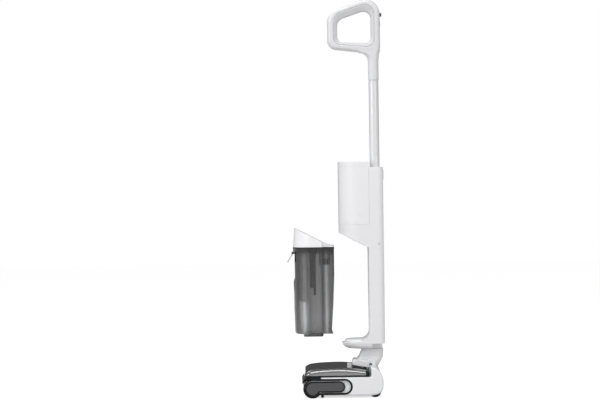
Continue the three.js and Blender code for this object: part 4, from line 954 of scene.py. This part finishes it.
def tank_plan(front, half, tongue, inset=0.0):
    """Round-nosed wide part with a narrower tongue to the rear, seen from above."""
    step, narrow = TANK["step"] - inset, TANK["tongue_half"] - inset
    wide, back = half - inset, tongue - inset
    nose = arc(front + half, 0, wide, 90, 270, 44)
    right = arc(step - 3, -wide + 3, 3, -90, 0, 6)
    left = arc(step - 3, wide - 3, 3, 0, 90, 6)
    tongue_right = arc(back - 8, -narrow + 8, 8, -90, 0, 10)
    tongue_left = arc(back - 8, narrow - 8, 8, 0, 90, 10)
    return nose + right + [(step, -narrow)] + tongue_right + tongue_left + [(step, narrow)] + left


def tank_shape(name, inset, high):
    """The tank's walls: heights above the foot, front set back, half width, tongue set forward."""
    keys = [(inset, 7, 48.2, 5.5), (1.2, 5.2, 50.0, 5.0), (3, 3.9, 51.2, 5.0), (8, 3.1, 52.2, 7.9)]
    keys += [(14, 2.9, 52.3, 8.3), (30, 2.5, 52.5, 7.3), (80, 1.5, 53.2, 3.9), (162, 0.9, 54.6, 0.6)]
    keys.append((235.5, 0.6, 55.4, 0.4))
    levels = []
    for up, back, half, ahead in keys:
        if up >= inset:
            plan = tank_plan(TANK["front"] + back, half, TANK["tongue"] - ahead, inset)
            levels.append((TANK["foot"] + up, plan))
    levels.append((high, plan))
    return loft_z(name, levels)


def finger_pocket(name, grow):
    x = TANK["front"]
    deep = x + 4.4 + grow
    corners = [(x - 9, 302, 0), (x + 1.5 + grow, 302 - grow, 2), (deep, 312 - grow, 3)]
    corners += [(deep, 386.5 + grow, 2), (x - 9, 386.5 + grow, 0)]
    return prism_y(name, rounded(corners, 6), -22 - grow, 22 + grow)


def build_dirty_tank():
    front, half, tongue = TANK["front"], TANK["half"], TANK["tongue"]
    rim_low, rim_high = TANK_RIM
    shell = tank_shape("dirty_tank_shell", 0, rim_high - 1.5)
    rim = prism_z("rim", tank_plan(front, half, tongue), rim_low, rim_high)
    boss = ease(prism_z("boss", box_plan(-71, -15, 28, 12), 147.8, 158.8), 1.2, 3, 40)
    lug_y = 23.4
    hinge = fuse(
        rod_y("hinge", 3.4, front - 0.6, LATCH_Z, -lug_y, lug_y, 40),
        block("hinge_root", front - 0.6, front + 7.2, -lug_y, lug_y, LATCH_Z - 2.5, LATCH_Z + 2.5),
    )
    carve(hinge, block("latch_room", -200, 0, -19.3, 19.3, 300, 400))
    hollow = tank_shape("hollow", 2.4, 403.3)
    carve(hollow, finger_pocket("pocket_wall", 2.4))
    fuse(shell, ease(rim, 0.6, 2, 50), boss)
    carve(
        shell,
        prism_z("boss_hollow", box_plan(-68.6, -17.4, 25.6, 10), 150.2, 159.8),
        hollow,
        finger_pocket("pocket", 0),
    )
    fuse(shell, hinge)
    carve(shell, rod_y("pin_bore", 1.6, front - 0.6, LATCH_Z, -20.8, 20.8, 24))
    place(drawn_out(shell), "dirty_water", "smoke", ["dirty_tank"], material="tank")


def build_latch():
    x = TANK["front"] - 0.6
    z = LATCH_Z
    flap = ease(prism_y("latch", rectangle(x - 1.4, x + 1.8, z - 30, z + 1, 1.3, 6), -19, 19), 0.8, 3, 50)
    hinge = mm(x, 0, z)
    turn = Matrix.Translation(hinge) @ Matrix.Rotation(math.radians(30), 4, "Y") @ Matrix.Translation(-hinge)
    flap.data.transform(turn)
    fuse(flap, rod_y("barrel", 3.2, x, z, -19, 19, 40))
    carve(flap, rod_y("bore", 1.6, x, z, -20, 20, 24))
    place(drawn_out(flap), "latch", "light_grey", ["tank_latch"])


# ------------ dirty tank's lid

LID_TOP = [
    *((-92.6, 450.6), (-92.0, 451.6), (-90.4, 451.4), (-74, 442.6), (-24, 417)),
    *((-8, 408.6), (0, 405.2), (8, 403.4), (16.9, 402.8)),
]


def lid_shape(name, inset, drop, low):
    """The lid's block: the tank's plan, leaning back a little at the front, under the slanted top."""
    top = [LID_TOP[0]] + smooth_path(LID_TOP[1:], 6)
    profile = [(x, z - drop) for x, z in top]
    profile += [(40, 402.6 - drop), (40, low), (-120, low), (-120, LID_TOP[0][1] - drop)]
    levels = []
    for i in range(7):
        z = low - 1 + (472 - low) * i / 6
        lean = 4.2 * min(max((z - 399) / 53, 0), 1)
        levels.append((z, tank_plan(TANK["front"] + lean, TANK["half"], TANK["tongue"], inset + 0.4)))
    shape = loft_z(name, levels)
    return combine(shape, [prism_y("profile", profile, -80, 80)], "INTERSECT")


def build_lid():
    low = 398.6
    shell = ease(lid_shape("lid_shell", 0, 0, low), 0.7, 3, 40)
    carve(shell, lid_shape("lid_room", 2.4, 2.4, low - 4))
    ledge = lid_shape("ledge", 0.3, 0.3, low)
    combine(ledge, [block("ledge_box", -67, -15, -29, 29, low + 2, 460)], "INTERSECT")
    carve(ledge, block("ledge_room", -64, -18, -26, 26, 380, 408))
    fuse(shell, ledge)
    pocket = prism_z("filter_pocket", box_plan(-59.8, -23.2, 20.3, 5), 380, 470)
    floor = [(-80, 430.2), (0, 392.4), (0, 460), (-80, 460)]
    combine(pocket, [prism_y("floor", floor, -60, 60)], "INTERSECT")
    carve(shell, pocket)
    place(drawn_out(shell), "lid", "white_shell", ["tank_lid"], material="lid")
    shell.data.materials.append(FINISH["lid_top"])
    for polygon in shell.data.polygons:
        if polygon.normal.z > 0.6 and polygon.center.z > mm(0, 0, 417).z:
            polygon.material_index = 1


# ------------ roller and wheels


def build_sleeve():
    """The roller's pile: a dense sleeve whose surface sinks in a little between the tufts."""
    half, outer = 115, ROLLER_R
    edge = [(18.9, -half), (outer - 2.4, -half), (outer - 1.2, -half + 0.5), (outer - 0.3, -half + 1.6)]
    pile = [(outer, -half + 3 + (half - 3) * 2 * i / 72) for i in range(73)]
    profile = [*edge, *pile, *mirrored(edge), edge[0]]
    sleeve = turned("pile_sleeve", profile, (ROLLER_X, 0, ROLLER_R), "Y", 160)
    tufts = bpy.data.textures.new("tufts", "CLOUDS")
    tufts.noise_scale = 0.0035
    tufts.noise_depth = 2
    push = sleeve.modifiers.new("tufts", "DISPLACE")
    push.texture = tufts
    push.texture_coords = "LOCAL"
    push.strength = 0.0009
    push.mid_level = 1.0
    apply_modifiers(sleeve)
    place(sleeve, "roller", "fibre", ["roller_sleeve"])


def build_wheels():
    hub = [(3.4, -6.2), (6.4, -6.2), (7.2, -5.2), (13.4, -5.2), (14.2, -8), (16.2, -8), (16.8, -7.8)]
    tread = []
    for i in range(5):
        y = -6.4 + 3.2 * i
        tread += [(17, y - 1.1), (17, y + 1.1), (16.3, y + 1.3), (16.3, y + 1.9)]
    profile = [*hub, *tread[:-2], *mirrored(hub), hub[0]]
    for side, name in ((-1, "left"), (1, "right")):
        wheel = turned("wheel_tyre_" + name, profile, (0, side * 104, 17), "Y", 96)
        place(wheel, name + "_wheel", "rubber", ["wheel_" + name])


# ------------ small pieces


def build_front_lip():
    lip = [(-190.5, 53.2, 0.6), (-193.5, 53.2, 1.2), (-201.2, 41.5, 0.9)]
    lip += [(-200, 39.6, 0.4), (-198.6, 40.2, 0.4)]
    tab = [(-184, 53.2), (-193.5, 53.2), (-193.5, 50.8), (-184, 50.8)]
    blade = prism_y("front_lip_blade", rounded(lip, 5), -117.4, 117.4)
    for side in (-1, 1):
        fuse(blade, prism_y("tab", tab, *span(side, 122.8, 107.4)))
    place(ease(blade, 0.5, 3, 35), "head", "black", ["front_lip"])


def slot_x(x0, x1, half, z, radius):
    """A slot with round ends across the machine, cut along X."""
    right = arc(half - radius, z, radius, -90, 90, 8)
    left = arc(radius - half, z, radius, 90, 270, 8)
    return prism_x("slot", right + left, x0, x1)


def build_rear_cover():
    half, low, high, x0, x1 = 46.5, 168, 597, 30.4, 32.3
    panel = ease(prism_x("rear_panel", rectangle(-half, half, low, high, 7, 12), x0, x1), 0.9, 4, 40)
    lip = block("lip", 28.3, x0 + 0.5, -half + 3, half - 3, low + 5, high - 5)
    hollow = block("lip_hollow", 28, x0 + 1, -half + 6, half - 6, low + 8, high - 8)
    carve(lip, hollow, block("above", 20, 60, -60, 60, 555, 600))
    fuse(panel, lip)
    carve(panel, *[slot_x(28, 36, 26, 432 + 5.2 * i, 1.3) for i in range(9)])
    place(panel, "upright", "white_shell", ["rear_cover"])


def build_buttons():
    outline = rounded([(-73.6, 79, 0.6), (-61.4, 79, 0.6), (-61.4, 86.6, 2.5), (-73.6, 86.9, 2.5)], 8)
    thumb = ease(prism_y("thumb_button", outline, -12.6, 12.6), 0.9, 4, 35)
    carve(thumb, *[rod_y("ridge", 0.8, -70.2 + 2.6 * i, 87.3, -9, 9, 20) for i in range(3)])
    place(thumb, "window_button", "white_shell", ["window_release_button"])

    cap = ease(prism_x("pole_button", rectangle(-10.6, 10.6, 600.5, 628, 5, 10), 30.8, 35.0), 1.2, 4, 35)
    carve(cap, *[slot_x(34.4, 40, 7, 608 + 4.2 * i, 0.8) for i in range(4)])
    fuse(cap, ease(block("stem", 27.2, 31.6, -7, 7, 616, 626), 0.6, 2, 40))
    place(cap, "pole_button", "light_grey", ["pole_release_button"])


def build_plug():
    top = CAP_TOP
    side = [(0, -9), (12.4, -9), (13.4, -8), (13.6, -7), (13.6, -1), (13.3, -0.3), (12.7, 0)]
    dish = [(9.6, 0), (9.0, -0.3), (8.2, -1.6), (7.6, -2), (0, -2)]
    profile = [(radius, top + drop) for radius, drop in side + dish]
    plug = turned("plug", profile, (FILLER_X, 0, 0), "Z", 96)
    grips = []
    for i in range(20):
        a = math.tau * i / 20
        x, y = FILLER_X + 14.1 * math.cos(a), 14.1 * math.sin(a)
        grips.append(rod_z("grip", 0.8, x, y, top - 6, top + 1, 14))
    carve(plug, *grips)
    place(plug, "plug", "light_grey", ["fill_plug"])


# ------------ studio


def seen_by(tree, *kinds):
    """1 for rays of the given kinds and 0 for the others."""
    path = add(tree, "ShaderNodeLightPath")
    seen = path.outputs[kinds[0]]
    for kind in kinds[1:]:
        seen = calculated(tree, "ShaderNodeMath", "MAXIMUM", seen, path.outputs[kind])
    return seen


def make_studio():
    """White surroundings, brightest at the front left and darker behind the machine."""
    world = bpy.data.worlds.new("studio")
    bpy.context.scene.world = world
    world.use_nodes = True
    tree = world.node_tree
    place = add(tree, "ShaderNodeTexCoord").outputs["Generated"]
    split = add(tree, "ShaderNodeSeparateXYZ", Vector=place)
    light = mapped(tree, split.outputs["X"], 0.82, 0.64, start=-1.0)
    flag = mapped(tree, split.outputs["Y"], 1.0, 0.1, start=0.1, end=0.9)
    flagged = calculated(tree, "ShaderNodeMath", "MULTIPLY", light, flag)
    seen = seen_by(tree, "Is Camera Ray", "Is Transmission Ray")
    strength = add(tree, "ShaderNodeMix", Factor=seen, A=flagged, B=1.0).outputs["Result"]
    settle(tree, tree.nodes["Background"], Color=(1, 1, 1, 1), Strength=strength)
    area_light("key", (-3.0, -2.6, 2.2), (0, 0, 0.5), (1.2, 2.6), 42)
    area_light("top", (-0.2, -1.8, 3.8), (-0.1, 0, 0.1), (2.8, 1.4), 56)
    area_light("fill", (2.6, -3.2, 1.6), (0, 0, 0.5), (0.6, 2.6), 12)
    area_light("back", (-1.0, 3.0, 2.6), (0, 0, 0.6), (2.0, 2.0), 20)


def area_light(name, place, target, size, power):
    data = bpy.data.lights.new(name, "AREA")
    data.shape = "RECTANGLE"
    data.size, data.size_y = size
    data.energy = power
    lamp = bpy.data.objects.new(name, data)
    lamp.location = place
    lamp.rotation_euler = (Vector(target) - Vector(place)).to_track_quat("-Z", "Y").to_euler()
    bpy.context.scene.collection.objects.link(lamp)


def make_floor():
    shape = bmesh.new()
    bmesh.ops.create_grid(shape, x_segments=1, y_segments=1, size=12)
    data = bpy.data.meshes.new("floor")
    shape.to_mesh(data)
    shape.free()
    floor = bpy.data.objects.new("floor", data)
    bpy.context.scene.collection.objects.link(floor)
    tree, shader = new_material("floor")
    seen = seen_by(tree, "Is Camera Ray", "Is Glossy Ray", "Is Transmission Ray")
    glow = calculated(tree, "ShaderNodeMath", "MULTIPLY", seen, 0.66)
    settle(tree, shader, Base_Color=(0.55, 0.55, 0.55, 1), Roughness=1.0, Specular_IOR_Level=0.0)
    settle(tree, shader, Emission_Color=(1, 1, 1, 1), Emission_Strength=glow)
    data.materials.append(FINISH["floor"])


make_camera()
finish_nodes()
build_handle()
build_pole()
build_neck()
build_housing()
build_tray()
build_clean_tank()
build_clean_cap()
build_head()
build_trims()
build_window()
build_window_frame()
build_dirty_tank()
build_latch()
build_lid()
build_sleeve()
build_wheels()
build_front_lip()
build_rear_cover()
build_buttons()
build_plug()
make_studio()
make_floor()

bpy.context.scene.view_settings.view_transform = "Standard"
